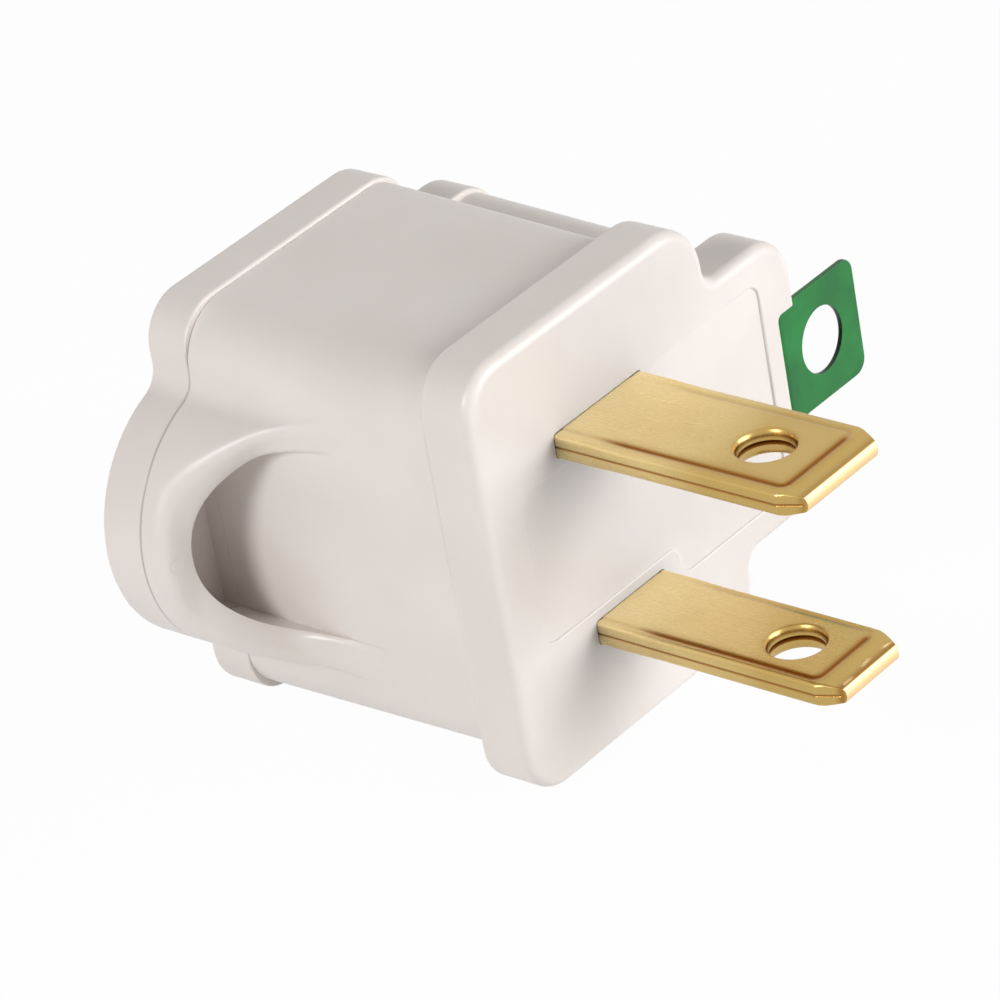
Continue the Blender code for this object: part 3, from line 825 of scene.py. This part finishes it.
@dataclass
class Housing(Piece):
    """The moulded housing: flange, body, grip, slots, notch and chambers."""

    back: float = -21.385
    joint_round: float = 0.03
    rim: float = 0.15
    flange_thick: float = 3.6
    root: float = 0.6
    front_round: float = 0.72
    back_round: float = 0.25
    draft: float = 0.35
    draft_from: float = -21.35
    column_step: float = 0.17       # spacing of the fine points under the grip
    ring_step: float = 0.13         # spacing of the fine rings
    fine_to: float = -7.6           # fine rings from the back to this x
    plain_rings: tuple[float, float] = (-7.0, -6.0)
    lift_y: float = -8.0            # the grip rises where y is below this
    lift_x: float = -7.7            # and x is below this
    finger_ends: tuple[float, float] = (-23.0, -6.5)
    front_wall: float = 3.1
    open_back: float = -24.0        # the chambers' cutters end behind the housing
    chamber_y: tuple[float, float] = (-8.2, 6.1)
    chamber_z: tuple[float, float] = (0.9, 10.7)
    ground_chamber_y: tuple[float, float] = (7.9, 16.35)
    ground_chamber_half: float = 6.3
    chamber_round: float = 1.2
    slot_thick: float = 1.58
    slot_gap: float = 0.005
    slot_round: float = 0.25
    slot_mouth: float = 0.02
    slot_past: tuple[float, float] = (1.0, 2.0)     # their cutters run on, in and out
    passage_x: tuple[float, float] = (-3.25, -1.75)
    passage_y: tuple[float, float] = (15.42, 16.45)
    passage_half: float = 3.95
    notch_y: tuple[float, float] = (16.35, 18.25)
    notch_half: float = 3.97
    notch_inner_round: float = 0.4
    notch_outer_round: float = 0.55
    notch_mouth: float = 0.12
    notch_behind: float = 0.05      # its cutter starts this far behind the flange
    recess_y: tuple[float, float, float] = (-7.4, 4.75, 14.95)
    recess_half: tuple[float, float] = (4.85, 6.95)
    recess_round: float = 0.9
    recess_mouth: float = 0.14
    shell: SteppedOutline = field(default_factory=lambda: SteppedOutline(
        near=-9.9, far=10.0, ground=17.45, half=12.82, ground_half=8.25,
        r_near=3.5, r_far=2.9, r_ground=2.6, r_step=0.6))
    flange: SteppedOutline = field(default_factory=lambda: SteppedOutline(
        near=-10.45, far=10.8, ground=18.22, half=13.8, ground_half=9.0,
        r_near=3.0, r_far=3.5, r_ground=2.85, r_step=1.0))
    grip: Grip = field(default_factory=Grip)

    @property
    def step(self) -> float:
        """x of the flange's back."""
        return self.rim - self.flange_thick

    def body(self, x: float) -> SteppedOutline:
        """The outline behind the flange, which narrows evenly towards it.

        Args:
            x: where the outline stands.

        Returns:
            The outline.
        """
        s = self.shell
        drop = self.draft * (x - self.draft_from) / (self.step - self.draft_from)
        return replace(s, far=s.far - drop, ground=s.ground - drop, half=s.half - drop,
                       ground_half=s.ground_half - drop)

    def skin(self) -> Object:
        """Body and flange as one loft along X, with the grip raised out of its near side.

        Every ring has the same points along the near side, and the grip's height at each
        point's x and z is taken off its y.

        Returns:
            The solid.
        """
        cols = self.grip.columns(self.column_step)
        places = [(self.back + a, b) for a, b in round_over(self.joint_round, 4)[:-1]]
        fine = np.arange(self.back + self.joint_round, self.fine_to, self.ring_step)
        plain = (*self.plain_rings, self.step - self.root - 0.3)
        places += [(x, 0.0) for x in (*fine, *plain)]
        places += [(self.step - b, -a) for a, b in round_over(self.root, 7, radians(60))]
        rings = [self.body(x).ring(x, inset, cols) for x, inset in places]
        places = [(self.step + a, b) for a, b in round_over(self.back_round, 5)]
        places += [(self.rim - b, a) for a, b in round_over(self.front_round, 11)]
        rings = np.array(rings + [self.flange.ring(x, inset, cols) for x, inset in places])
        x, y, z = rings[..., 0], rings[..., 1], rings[..., 2]
        raised = (y < self.lift_y) & (x < self.lift_x)
        y -= np.where(raised, self.grip.height(x, z), 0.0)
        return loft("housing_skin", rings)

    def slot_outline(self, z: float, width: float, gap: float,
                     thick: float) -> Callable[[float], np.ndarray]:
        """Outline of a blade slot, as a function of how much it is grown.

        Args:
            z: z of the slot's middle.
            width: width of the blade.
            gap: space left round the blade.
            thick: thickness of the blade.

        Returns:
            The function.
        """
        half, high = width / 2 + gap, thick / 2 + gap
        return lambda grow: box((-half - grow, z - high - grow), (half + grow, z + high + grow),
                                self.slot_round + grow, 4)

    def recess(self, grow: float) -> np.ndarray:
        """Outline of the shallow recess in the blade face: narrow, then wide past a step.

        Args:
            grow: how much the recess is grown.

        Returns:
            The outline.
        """
        near, step, far = np.array(self.recess_y) + [-grow, -grow, grow]
        slim, wide = np.array(self.recess_half) + grow
        r, inner = self.recess_round + grow, self.recess_round - grow
        return rounded(mirrored([(near, slim, r), (step, slim, inner), (step, wide, r),
                                 (far, wide, r)]), 8)

    def notch(self, grow: float) -> np.ndarray:
        """Outline of the notch in the flange's far edge, with its mouth splayed outside it.

        Args:
            grow: how much the notch is grown.

        Returns:
            The outline.
        """
        floor, out = self.notch_y[0] - grow, self.notch_y[1] - grow
        half, past = self.notch_half + grow, 2.0
        splay = self.notch_outer_round - 0.9 * grow
        return rounded(mirrored([(floor, half, self.notch_inner_round + grow),
                                 (out, half, splay), (out, half + 1.0, 0.0),
                                 (out + past, half + 1.0, 0.0)]), 6)

    def openings(self) -> list[Object]:
        """Make the cutters of everything that opens the housing.

        Returns:
            The cutters, in the order of cutting.
        """
        made = [self.grip.finger_space(*self.finger_ends)]
        wall = self.rim - self.front_wall
        (y0, y1), (z0, z1) = self.chamber_y, self.chamber_z
        g0, g1 = self.ground_chamber_y
        rooms = [((y0, z0), (y1, z1)), ((y0, -z1), (y1, -z0)),
                 ((g0, -self.ground_chamber_half), (g1, self.ground_chamber_half))]
        for low, high in rooms:
            room = box(low, high, self.chamber_round)
            made.append(prism("chamber", room, self.open_back, wall))
        for z, width in (NEUTRAL, HOT):
            slot = self.slot_outline(z, width, self.slot_gap, self.slot_thick)
            made.append(mouth_cutter("slot", slot, wall - self.slot_past[0], 0.0,
                                     self.slot_mouth, self.slot_past[1]))
        (p0, p1), half = self.passage_y, self.passage_half
        made.append(prism("passage", box((p0, -half), (p1, half), 0.0), *self.passage_x))
        made.append(mouth_cutter("notch", self.notch, self.step - self.notch_behind, self.rim,
                                 self.notch_mouth))
        made.append(mouth_cutter("recess", self.recess, 0.0, self.rim, self.recess_mouth))
        return made

    def build(self) -> Object:
        """Make the skin and cut everything that opens it.

        Returns:
            The housing.
        """
        obj = self.skin()
        for cutter in self.openings():
            combine(obj, cutter, Combine.CUT)
        smooth(obj)
        return obj


@dataclass
class FaceCover(Piece):
    """The socket plate behind the housing."""

    back: float = -24.45
    front: float = -21.4
    back_round: float = 0.4
    front_round: float = 0.22
    near_share: float = 0.2         # share of the front rounding kept on the near side
    deep: float = -20.0             # the cutters end here, past the plate
    slot_gap: float = 0.4
    slot_thick: float = 1.3
    slot_mouth: float = 0.3
    hole_y: float = 11.9
    hole_radius: float = 2.65
    hole_flat_y: float = 14.4
    hole_mouth: float = 0.35
    finger_back: float = -22.6
    outline: SteppedOutline = field(default_factory=lambda: SteppedOutline(
        near=-9.9, far=10.22, ground=17.6, half=13.05, ground_half=8.65,
        r_near=2.9, r_far=2.9, r_ground=3.0, r_step=0.8))
    grip: Grip = field(default_factory=Grip)

    def ring(self, x: float, inset: float, near_inset: float) -> np.ndarray:
        """The stepped outline at x, with the grip's bulge on its near side.

        The bulge is an arc about the grip's axis that meets the side in two hollow arcs.

        Args:
            x: where the ring stands.
            inset: how far the outline is drawn in.
            near_inset: how far its near side is drawn in.

        Returns:
            The ring's 3-D points.
        """
        g = self.grip
        r, b = g.radius - near_inset, g.blend + near_inset
        near = self.outline.near + near_inset
        depth = g.axis - near
        foot = sqrt((r + b) ** 2 - (depth + b) ** 2)
        toe = atan2(foot, -(depth + b))
        blend = arc(near - b, foot, b, 0.0, toe - pi, 12)
        half = np.concatenate([blend, arc(g.axis, 0.0, r, toe, pi, 48)[1:]])
        bulge = np.concatenate([half, (half * [1, -1])[-2::-1]])
        rest = rounded(self.outline.corners(inset, near_inset))
        return ring_at(x, np.concatenate([bulge, rest]))

    def ground_hole(self, grow: float) -> np.ndarray:
        """Outline of the ground hole: a half circle that ends in a flat.

        Args:
            grow: how much the hole is grown.

        Returns:
            The outline.
        """
        r, flat = self.hole_radius + grow, self.hole_flat_y + grow
        half_round = arc(self.hole_y, 0.0, r, pi / 2, 3 * pi / 2, 32)
        return np.concatenate([half_round, [[flat, -r], [flat, r]]])

    def build(self) -> Object:
        """Make the plate and cut its slots, ground hole and share of the finger space.

        Returns:
            The cover.
        """
        rings = [self.ring(self.back + a, b, b) for a, b in round_over(self.back_round, 8)]
        rings += [self.ring(self.front - b, a, self.near_share * a)
                  for a, b in round_over(self.front_round, 5)]
        obj = loft("cover_skin", rings)
        housing = Housing()
        for z, width in (NEUTRAL, HOT):
            slot = housing.slot_outline(z, width, self.slot_gap, self.slot_thick)
            combine(obj, mouth_cutter("socket_slot", slot, self.deep, self.back,
                                      self.slot_mouth), Combine.CUT)
        combine(obj, mouth_cutter("ground_hole", self.ground_hole, self.deep, self.back,
                                  self.hole_mouth), Combine.CUT)
        combine(obj, self.grip.finger_space(self.finger_back, self.deep), Combine.CUT)
        smooth(obj)
        return obj


# Metal strips
@dataclass
class BladeContact(Piece):
    """A folded brass blade with its two gripping leaves inside."""

    name: str
    z: float
    width: float
    side_border: float
    tip_border: float
    rim: float = 0.15
    length: float = 16.96
    sheet: float = 0.76
    fold_gap: float = 0.06
    hole: float = 3.3
    hole_mouth: float = 0.3
    hole_sink: float = 0.58
    hole_x: float = 11.8
    chamfer_x: float = 1.62
    chamfer_y: float = 0.73
    edge: float = 0.24          # rounding of the long edges
    edge_fade: float = 0.9      # it weakens over this length at the cut corner
    edge_loss: float = 0.7      # by this share
    edge_most: float = 0.6      # and is never more than this share of the height
    taper: float = 1.2
    nose: float = 0.2
    nose_half: float = 0.47
    seam_depth: float = 0.045
    panel_round: float = 0.6
    line_deep: float = 0.055
    line_wide: float = 0.16
    line_from: float = 2.0      # the line comes in this far from the root
    line_over: float = 2.6      # over this length
    line_least: float = 0.2     # from this share of its depth
    lip_high: float = 0.02      # lip that the coined line has raised on its panel side
    lip_in: float = 0.27
    lip_wide: float = 0.1
    border_low: float = 0.045   # the border lies this much lower than the panel
    border_fall: float = 0.05   # and falls by this per mm
    border_soft: float = 0.05   # softness of the step down to it
    burr: float = 0.0           # share of knocks before the nose, 0 to 1
    burr_high: float = 0.065
    burr_wide: float = 0.06
    burr_in: float = 0.46       # the burrs lie this far from the tip
    burr_sway: float = 0.12     # give or take this
    groove_z: tuple[float, ...] = (0.03, 0.08, 0.15)    # groove in the hole's wall
    groove_deep: tuple[float, ...] = (0.25, 0.14, 0.0)
    line_shade: tuple[float, float] = (0.7, 0.16)     # share and width of each painted shade
    haze_shade: tuple[float, float] = (0.35, 0.38)
    mouth_shade: tuple[float, float] = (0.2, 0.16)
    seam_shade_wide: float = 0.075
    bore_shade_wide: float = 0.13
    crease_shade_wide: float = 0.25
    leaf_x: tuple[float, ...] = (-19.9, -18.2, -17.0, -15.5, -7.8, -7.1, -4.9, -4.2, -3.0)
    leaf_off: tuple[float, ...] = (1.3, 0.74, 0.62, 0.7, 1.0, 0.92, 0.11, 0.03, 0.03)
    leaf_width: float = 6.0

    @property
    def outer(self) -> float:
        """Half the blade's thickness."""
        return self.sheet + self.fold_gap / 2

    @property
    def tip(self) -> float:
        """x of the tip."""
        return self.rim + self.length

    def half_width(self, x: np.ndarray) -> np.ndarray:
        """Half the width at x: straight, then the cut corner."""
        cut = np.clip((x - self.tip + self.chamfer_x) / self.chamfer_x, 0, 1) * self.chamfer_y
        return self.width / 2 - cut

    def panel(self, x: np.ndarray, y: np.ndarray) -> np.ndarray:
        """Signed distance inside the coined panel, a rectangle with rounded corners.

        With qx and qy the distances past the rounding's centre, it is
        radius - hypot(max(qx, 0), max(qy, 0)) - min(max(qx, qy), 0).

        Args:
            x: places along the blade.
            y: places across it.

        Returns:
            The distances, negative outside.
        """
        r = self.panel_round
        qx = x - (self.tip - self.tip_border - r)
        qy = np.abs(y) - (self.width / 2 - self.side_border - r)
        past = np.hypot(np.maximum(qx, 0), np.maximum(qy, 0))
        return r - past - np.minimum(np.maximum(qx, qy), 0)

    def start(self, x: np.ndarray) -> np.ndarray:
        """How far the coined line has come in: faint at the root and full further out."""
        t = np.clip((x - self.rim - self.line_from) / self.line_over, 0, 1)
        return self.line_least + (1 - self.line_least) * t * t * (3 - 2 * t)

    def height(self, x: np.ndarray, y: np.ndarray) -> np.ndarray:
        """Height of the upper face over the blade's middle plane.

        The face thins towards the tip and ends in an elliptic nose. Its sides are rounded, a
        line is coined round a raised panel, and the border outside it falls off a little. The
        line and its lip are bell curves of the distance from the panel's edge.

        Args:
            x: places along the blade.
            y: places across it.

        Returns:
            The heights.
        """
        thin = np.clip((x - self.tip + self.taper) / (self.taper - self.nose), 0, 1)
        s = np.clip((x - self.tip + self.nose) / self.nose, 0, 1)
        z = (self.outer - (self.outer - self.nose_half) * thin) * np.sqrt(1 - s ** 2)
        cut = np.clip((x - self.tip + self.chamfer_x) / self.edge_fade, 0, 1)
        e = np.minimum(self.edge * (1 - self.edge_loss * cut), self.edge_most * z) + 1e-6
        d = np.clip(self.half_width(x) - np.abs(y), 0, e)
        drop = e - np.sqrt(np.maximum(e ** 2 - (e - d) ** 2, 0))
        p = self.panel(x, y)
        line = self.line_deep * bell(p, self.line_wide)
        line = line - self.lip_high * bell(p + self.lip_in, self.lip_wide)
        border = self.border_low * (1 - 1 / (1 + np.exp(-p / self.border_soft)))
        border = border + self.border_fall * np.clip(-p, 0, 1)
        z = z - drop - (line + border * (1 - thin)) * self.start(x) * (1 - s) ** 0.5
        return np.maximum(z + self.burr_high * self.dent(x, y), 0.0)

    def dent(self, x: np.ndarray, y: np.ndarray) -> np.ndarray:
        """Height share of the burrs that knocks have raised before the nose.

        They are a narrow bell curve about a wavy ridge, broken up along it by a sine.

        Args:
            x: places along the blade.
            y: places across it.

        Returns:
            The shares, 0 to 1.
        """
        ridge = self.tip - self.burr_in - self.burr_sway * np.sin(1.1 * y + 0.4)
        part = np.clip(2.2 * np.sin(3.1 * y + 1.0) - 0.2, 0, 1)
        inside = np.clip((self.half_width(x) - np.abs(y)) / 0.4, 0, 1)
        return self.burr * bell(x - ridge, self.burr_wide) * part * inside

    def section(self, x: float) -> np.ndarray:
        """The blade's closed section at x, with the seam between its two layers.

        Args:
            x: where the section stands.

        Returns:
            Points in (y, z).
        """
        w = float(self.half_width(np.array(x)))
        fine = np.arange(0.24, self.side_border + 0.4, 0.055)
        left = -w + np.concatenate([[0.0, 0.02, 0.05, 0.1, 0.16], fine])
        y = np.concatenate([left, np.linspace(left[-1], -left[-1], 14)[1:-1], -left[::-1]])
        z = self.height(np.full(len(y), x), y)
        deep = self.seam_depth * np.clip((self.tip - self.nose - x) / 0.15, 0, 1)
        level = np.array([0.17, 0.12, 0.085, 0.055, 0.035]) * min(1.0, z[0] / 0.3)
        inset = np.array([0.0, 0.02, 0.12, 0.4, 1.0]) * deep
        wall = np.column_stack([w - inset, level])
        wall = np.concatenate([wall, (wall * [1, -1])[::-1]])
        top = np.column_stack([y, z])
        return np.concatenate([top, wall, (top * [1, -1])[::-1], wall * [-1, -1]])

    def blade(self) -> Object:
        """The outer blade as one loft of sections along X, pierced by its hole.

        Returns:
            The blade.
        """
        nose = self.tip - self.nose + self.nose * np.sin(np.linspace(0, pi / 2, 11))
        x = np.concatenate([np.linspace(-3.2, 1.6, 6), np.arange(1.9, self.tip - 3.0, 0.3),
                            np.arange(self.tip - 2.9, self.tip - self.nose - 0.03, 0.07), nose])
        obj = loft(self.name, [ring_at(a, self.section(a) + [0.0, self.z]) for a in x])
        self.pierce(obj)
        self.paint_shade_and_highlight(obj.data)
        return obj

    def pierce(self, obj: Object) -> None:
        """Cut the round hole, rounded at both mouths and grooved between the layers.

        Args:
            obj: the blade.
        """
        wider, sunk = round_over(1.0, 9).T
        past, t = 2.2, self.outer + 0.02
        high = np.concatenate([self.groove_z, t - self.hole_sink * sunk, [past]])
        wide = np.concatenate([self.groove_deep, self.hole_mouth * wider, [self.hole_mouth]])
        wide = wide + self.hole / 2
        level = np.concatenate([-high[::-1], high])
        size = np.concatenate([wide[::-1], wide])
        rings = [np.insert(arc(self.rim + self.hole_x, 0.0, w, 0, 2 * pi, 72)[:-1], 2,
                           self.z + h, axis=1) for h, w in zip(level, size)]
        combine(obj, loft("hole", rings), Combine.CUT)

    def paint_shade_and_highlight(self, mesh: bpy.types.Mesh) -> None:
        """Store at each vertex how much painted shade sits there, and how much painted highlight.

        The painted shade, with a little tarnish, is a bell curve of the distance from the coined
        line, the seam, the hole's wall and mouth, and the crease before the nose, whichever gives
        most. The painted highlight covers the nose and the burrs.

        Args:
            mesh: the blade's mesh.
        """
        v = np.empty(len(mesh.vertices) * 3)
        mesh.vertices.foreach_get("co", v)
        x, y, z = (v.reshape(-1, 3) / MM).T
        dz = np.abs(z - self.z)
        on_face = dz > 0.3
        p = self.panel(x, y)
        # Painted shade, with a little tarnish: brown where the coined line, seam, hole and crease
        # lie in shadow.
        (line_most, line_wide), (haze_most, haze_wide) = self.line_shade, self.haze_shade
        line = line_most * bell(p, line_wide) + haze_most * bell(p, haze_wide)
        far_side = y > self.width / 2 - self.side_border - 0.5
        line = line * self.start(x) * np.where(far_side, 0.25, 1.0) * on_face
        seam = bell(dz, self.seam_shade_wide) * (x < self.tip - self.nose)
        out = np.hypot(x - self.rim - self.hole_x, y) - self.hole / 2
        bore = bell(dz, self.bore_shade_wide) * (out < 0.4)
        mouth_most, mouth_wide = self.mouth_shade
        mouth = mouth_most * bell(out - 0.12, mouth_wide) * on_face
        before_nose = x - self.tip + self.nose
        crease = bell(before_nose + 0.05, self.crease_shade_wide) * (0.4 + 0.25 * self.burr)
        shade_and_tarnish = np.clip(np.maximum.reduce([line, seam, bore, mouth, crease]), 0, 1)
        # Painted highlight: the nose and the burrs are coloured pale, for a reflection.
        painted_glint = np.maximum(np.clip(before_nose / 0.06, 0, 1), self.dent(x, y))
        painted_glint = np.where(np.abs(y) < self.half_width(x) - 0.015, painted_glint, 0.0)
        for name, value in (("shade_and_tarnish", shade_and_tarnish * (1 - painted_glint)), ("painted_glint", painted_glint)):
            mesh.attributes.new(name, "FLOAT", "POINT").data.foreach_set("value", value)

    def leaves(self) -> list[Object]:
        """The two inner leaves, bowed to grip a plug's blade and flared at their mouth.

        Each stands off the blade's middle plane by a running mean over straight stretches.

        Returns:
            The leaves.
        """
        x = np.linspace(self.leaf_x[0], self.leaf_x[-1], 60)
        off = np.interp(x, self.leaf_x, self.leaf_off)
        off = np.convolve(np.pad(off, 2, "edge"), np.ones(5) / 5, "valid")
        half = min(self.leaf_width, self.width) / 2
        made = []
        for side in (1.0, -1.0):
            path = np.column_stack([x, side * off])
            strip = np.concatenate([path, (path + [0.0, side * self.sheet])[::-1]])
            made.append(prism("leaf", strip + [0.0, self.z], -half, half, axis=1))
            soften(made[-1], 0.08)
        return made

    def build(self) -> Object:
        """Blade and leaves as one piece.

        Returns:
            The piece.
        """
        obj = join(self.name, [self.blade(), *self.leaves()])
        smooth(obj, 40.0)
        return obj


@dataclass
class GroundStrip(Piece):
    """The green strip: clip inside, run through the notch, tab outside."""

    thick: float = 0.33
    half: float = 3.85
    face: float = -0.57
    run_y: float = 16.5
    end: float = 24.4
    bend: float = 0.7
    corner: float = 0.95
    hole_y: float = 20.8
    hole_long: float = 4.2
    hole_short: float = 3.84
    web: float = 15.72
    back: float = -20.0
    outer_jog: tuple[float, float] = (-3.3, -2.2)   # x where the run steps from web to run_y
    inner_jog: tuple[float, float] = (-3.4, -2.3)   # the same on the inner line
    clip_front: float = -10.5
    clip_thick: float = 0.45
    clip_y: tuple[float, float] = (9.7, 8.9)        # where the clip's leaves flare and end
    clip_z: tuple[float, float] = (2.2, 2.7)        # half their gap, and at their mouth

    def profile(self) -> np.ndarray:
        """The strip seen along Z: outer line there, inner line back, evenly thick.

        Returns:
            Points in (x, y).
        """
        t, r = self.thick, self.bend
        cx, cy = self.face - r - t, self.run_y + r + t
        low = arc(cx, cy, r + t, -pi / 2, 0.0, 10)
        high = arc(cx, cy, r, 0.0, -pi / 2, 10)
        (a, b), (c, d) = self.outer_jog, self.inner_jog
        outer = np.array([[self.back, self.web], [a, self.web], [b, self.run_y]])
        inner = np.array([[d, self.run_y + t], [c, self.web + t], [self.back, self.web + t]])
        tab = np.array([[self.face, self.end], [self.face - t, self.end]])
        return np.concatenate([outer, low, tab, high, inner])

    def build(self) -> Object:
        """Bend the strip, cut its corners and hole, and add the clip's two leaves.

        Returns:
            The strip.
        """
        obj = prism("ground_skin", self.profile(), -self.half, self.half, axis=2)
        plan = rounded(mirrored([(0.0, self.half, 0.0), (self.end, self.half, self.corner)]))
        combine(obj, prism("plan", plan, self.back - 2, 2.0), Combine.KEEP)
        circle = arc(0.0, 0.0, 0.5, 0, 2 * pi, 64)[:-1]
        bore = circle * [self.hole_short, self.hole_long] + [self.hole_y, 0.0]
        combine(obj, prism("hole", bore, -3.0, 2.0), Combine.CUT)
        soften(obj, 0.07)
        pieces = [obj]
        (y0, y1), (z0, z1) = self.clip_y, self.clip_z
        inner = np.array([[self.web + 0.2, z0], [y0, z0], [y1, z1]])
        leaf = np.concatenate([inner, inner[::-1] + [0.0, self.clip_thick]])
        for side in (-1, 1):
            pieces.append(prism("clip_leaf", leaf * [1, side], self.back + 0.3,
                                self.clip_front - 0.3))
            soften(pieces[-1], 0.08)
        obj = join("ground_skin", pieces)
        self.mark_edges(obj.data)
        smooth(obj, 40.0)
        return obj

    def mark_edges(self, mesh: bpy.types.Mesh) -> None:
        """Store on each face of the tab how far it is a blanked edge.

        It is 1.3 less 1.5 times how squarely the face looks along X, held between 0 and 1.

        Args:
            mesh: the strip's mesh.
        """
        normals = np.array([f.normal[:] for f in mesh.polygons])
        centres = np.array([f.center[:] for f in mesh.polygons]) / MM
        past_bend = self.run_y + self.bend + self.thick
        on_tab = (centres[:, 1] > past_bend) & (centres[:, 0] > -2.0)
        edge = np.where(on_tab, np.clip(1.3 - 1.5 * np.abs(normals[:, 0]), 0, 1), 0.0)
        mesh.attributes.new("cut_edge", "FLOAT", "FACE").data.foreach_set("value", edge)


# Stage
def seen_directly(tree: Tree) -> bpy.types.NodeSocket:
    """A socket that is 1 for the camera's rays and for mirrored and passed ones, else 0.

    Args:
        tree: the tree of the material or world that asks.

    Returns:
        The socket.
    """
    path = add(tree, "LightPath").outputs
    first = add(tree, "Math", links={0: path["Is Camera Ray"], 1: path["Is Glossy Ray"]},
                operation="MAXIMUM")
    every = add(tree, "Math", links={0: first.outputs[0], 1: path["Is Transmission Ray"]},
                operation="MAXIMUM")
    return every.outputs[0]


@dataclass(frozen=True)
class Lamp:
    """A square area lamp, its place and side in millimetres and its power in watts."""

    name: str
    place: tuple[float, float, float]
    side: float
    power: float


@dataclass
class Studio:
    """White sweep, soft lights and the photograph's camera, sizes in millimetres."""

    camera: tuple[float, float, float] = (199.295, -214.258, 168.617)
    right: tuple[float, float, float] = (0.76814, 0.62066, -0.15729)
    down: tuple[float, float, float] = (0.20905, -0.47530, -0.85463)
    forward: tuple[float, float, float] = (-0.60519, 0.62360, -0.49485)
    lens: float = 215.82
    floor_z: float = -13.82
    floor_half: float = 900.0
    floor_colour: str = "#FAFAFA"
    floor_shown: float = 0.965      # share of plain white in what is seen of the floor
    ambient: tuple[float, float, float, float] = (0.253, 0.241, 0.228, 1.0)
    aim: tuple[float, float, float] = (-4.0, 2.0, 0.0)
    lamps: tuple[Lamp, ...] = (Lamp("right_lamp", (540.0, 280.0, 150.0), 440.0, 3.85),
                               Lamp("front_lamp", (-20.0, -310.0, 190.0), 110.0, 0.61))

    def place_camera(self) -> None:
        """Set the camera on the three measured axes."""
        data = bpy.data.cameras.new("camera")
        data.lens = self.lens
        data.sensor_width = 36.0
        data.clip_start = 0.01
        cam = new_object("camera", data)
        axes = np.column_stack([self.right, -np.array(self.down), -np.array(self.forward)])
        matrix = Matrix(axes.tolist()).to_4x4()
        matrix.translation = Vector(self.camera) * MM
        cam.matrix_world = matrix
        bpy.context.scene.camera = cam

    def floor_material(self) -> Material:
        """Matte white paper, seen almost pure white with a faint shadow, in mirrors too.

        Returns:
            The material.
        """
        mat, tree, shader = empty_material("white_paper_sweep")
        feed(tree, shader, {"Base Color": linear(self.floor_colour), "Roughness": 0.9,
                            "Specular IOR Level": 0.1})
        white = add(tree, "Emission", {"Color": WHITE, "Strength": 1.0})
        seen = add(tree, "Math", {1: self.floor_shown}, {0: seen_directly(tree)},
                   operation="MULTIPLY")
        mix = add(tree, "MixShader", links={0: seen.outputs[0], 1: shader.outputs[0],
                                            2: white.outputs[0]})
        out = next(n for n in tree.nodes if n.type == "OUTPUT_MATERIAL")
        tree.links.new(mix.outputs[0], out.inputs["Surface"])
        return mat

    def lay_floor(self) -> None:
        """A large plane under the part."""
        h = self.floor_half
        corners = np.array([[x, y, self.floor_z] for x, y in ((-h, -h), (h, -h), (h, h), (-h, h))])
        floor = new_piece("floor", corners, [[0, 1, 2, 3]])
        floor.data.materials.append(self.floor_material())

    def light(self, lamp: Lamp) -> None:
        """Put up one lamp that looks at the part.

        Args:
            lamp: the lamp.
        """
        data = bpy.data.lights.new(lamp.name, "AREA")
        data.size = lamp.side * MM
        data.energy = lamp.power
        obj = new_object(lamp.name, data)
        obj.location = Vector(lamp.place) * MM
        look = Vector(self.aim) - Vector(lamp.place)
        obj.rotation_euler = look.to_track_quat("-Z", "Y").to_euler()

    def light_world(self) -> None:
        """Even white surroundings, plain white behind the part."""
        world = bpy.data.worlds.new("studio")
        world.use_nodes = True
        tree = world.node_tree
        level = add(tree, "Mix", {6: self.ambient, 7: WHITE}, {0: seen_directly(tree)},
                    data_type="RGBA")
        feed(tree, tree.nodes["Background"], {"Strength": 1.0}, {"Color": level.outputs[2]})
        bpy.context.scene.world = world

    def build(self) -> None:
        """Put up the whole set."""
        self.place_camera()
        self.lay_floor()
        self.light_world()
        for lamp in self.lamps:
            self.light(lamp)
        bpy.context.scene.view_settings.view_transform = "Standard"
        bpy.context.scene.cycles.caustics_reflective = False


def main() -> None:
    """Build the studio and every piece, in order."""
    logging.basicConfig(level=logging.INFO, format="%(name)s: %(message)s")
    Studio().build()
    plastic = MouldedPlastic().make()
    brass = RolledBrass().make()
    Housing().dress(plastic, "housing", "housing_plastic")
    FaceCover().dress(plastic, "face_cover", "cover_plastic")
    wide = BladeContact("neutral_skin", *NEUTRAL, side_border=0.8, tip_border=1.5)
    wide.dress(brass, "neutral_contact", "brass_strip")
    narrow = BladeContact("hot_skin", *HOT, side_border=0.5, tip_border=1.75, burr=1.0)
    narrow.dress(brass, "hot_contact", "brass_strip")
    GroundStrip().dress(GreenLacquer().make(), "ground_contact", "green_strip")


if __name__ == "__main__":
    main()
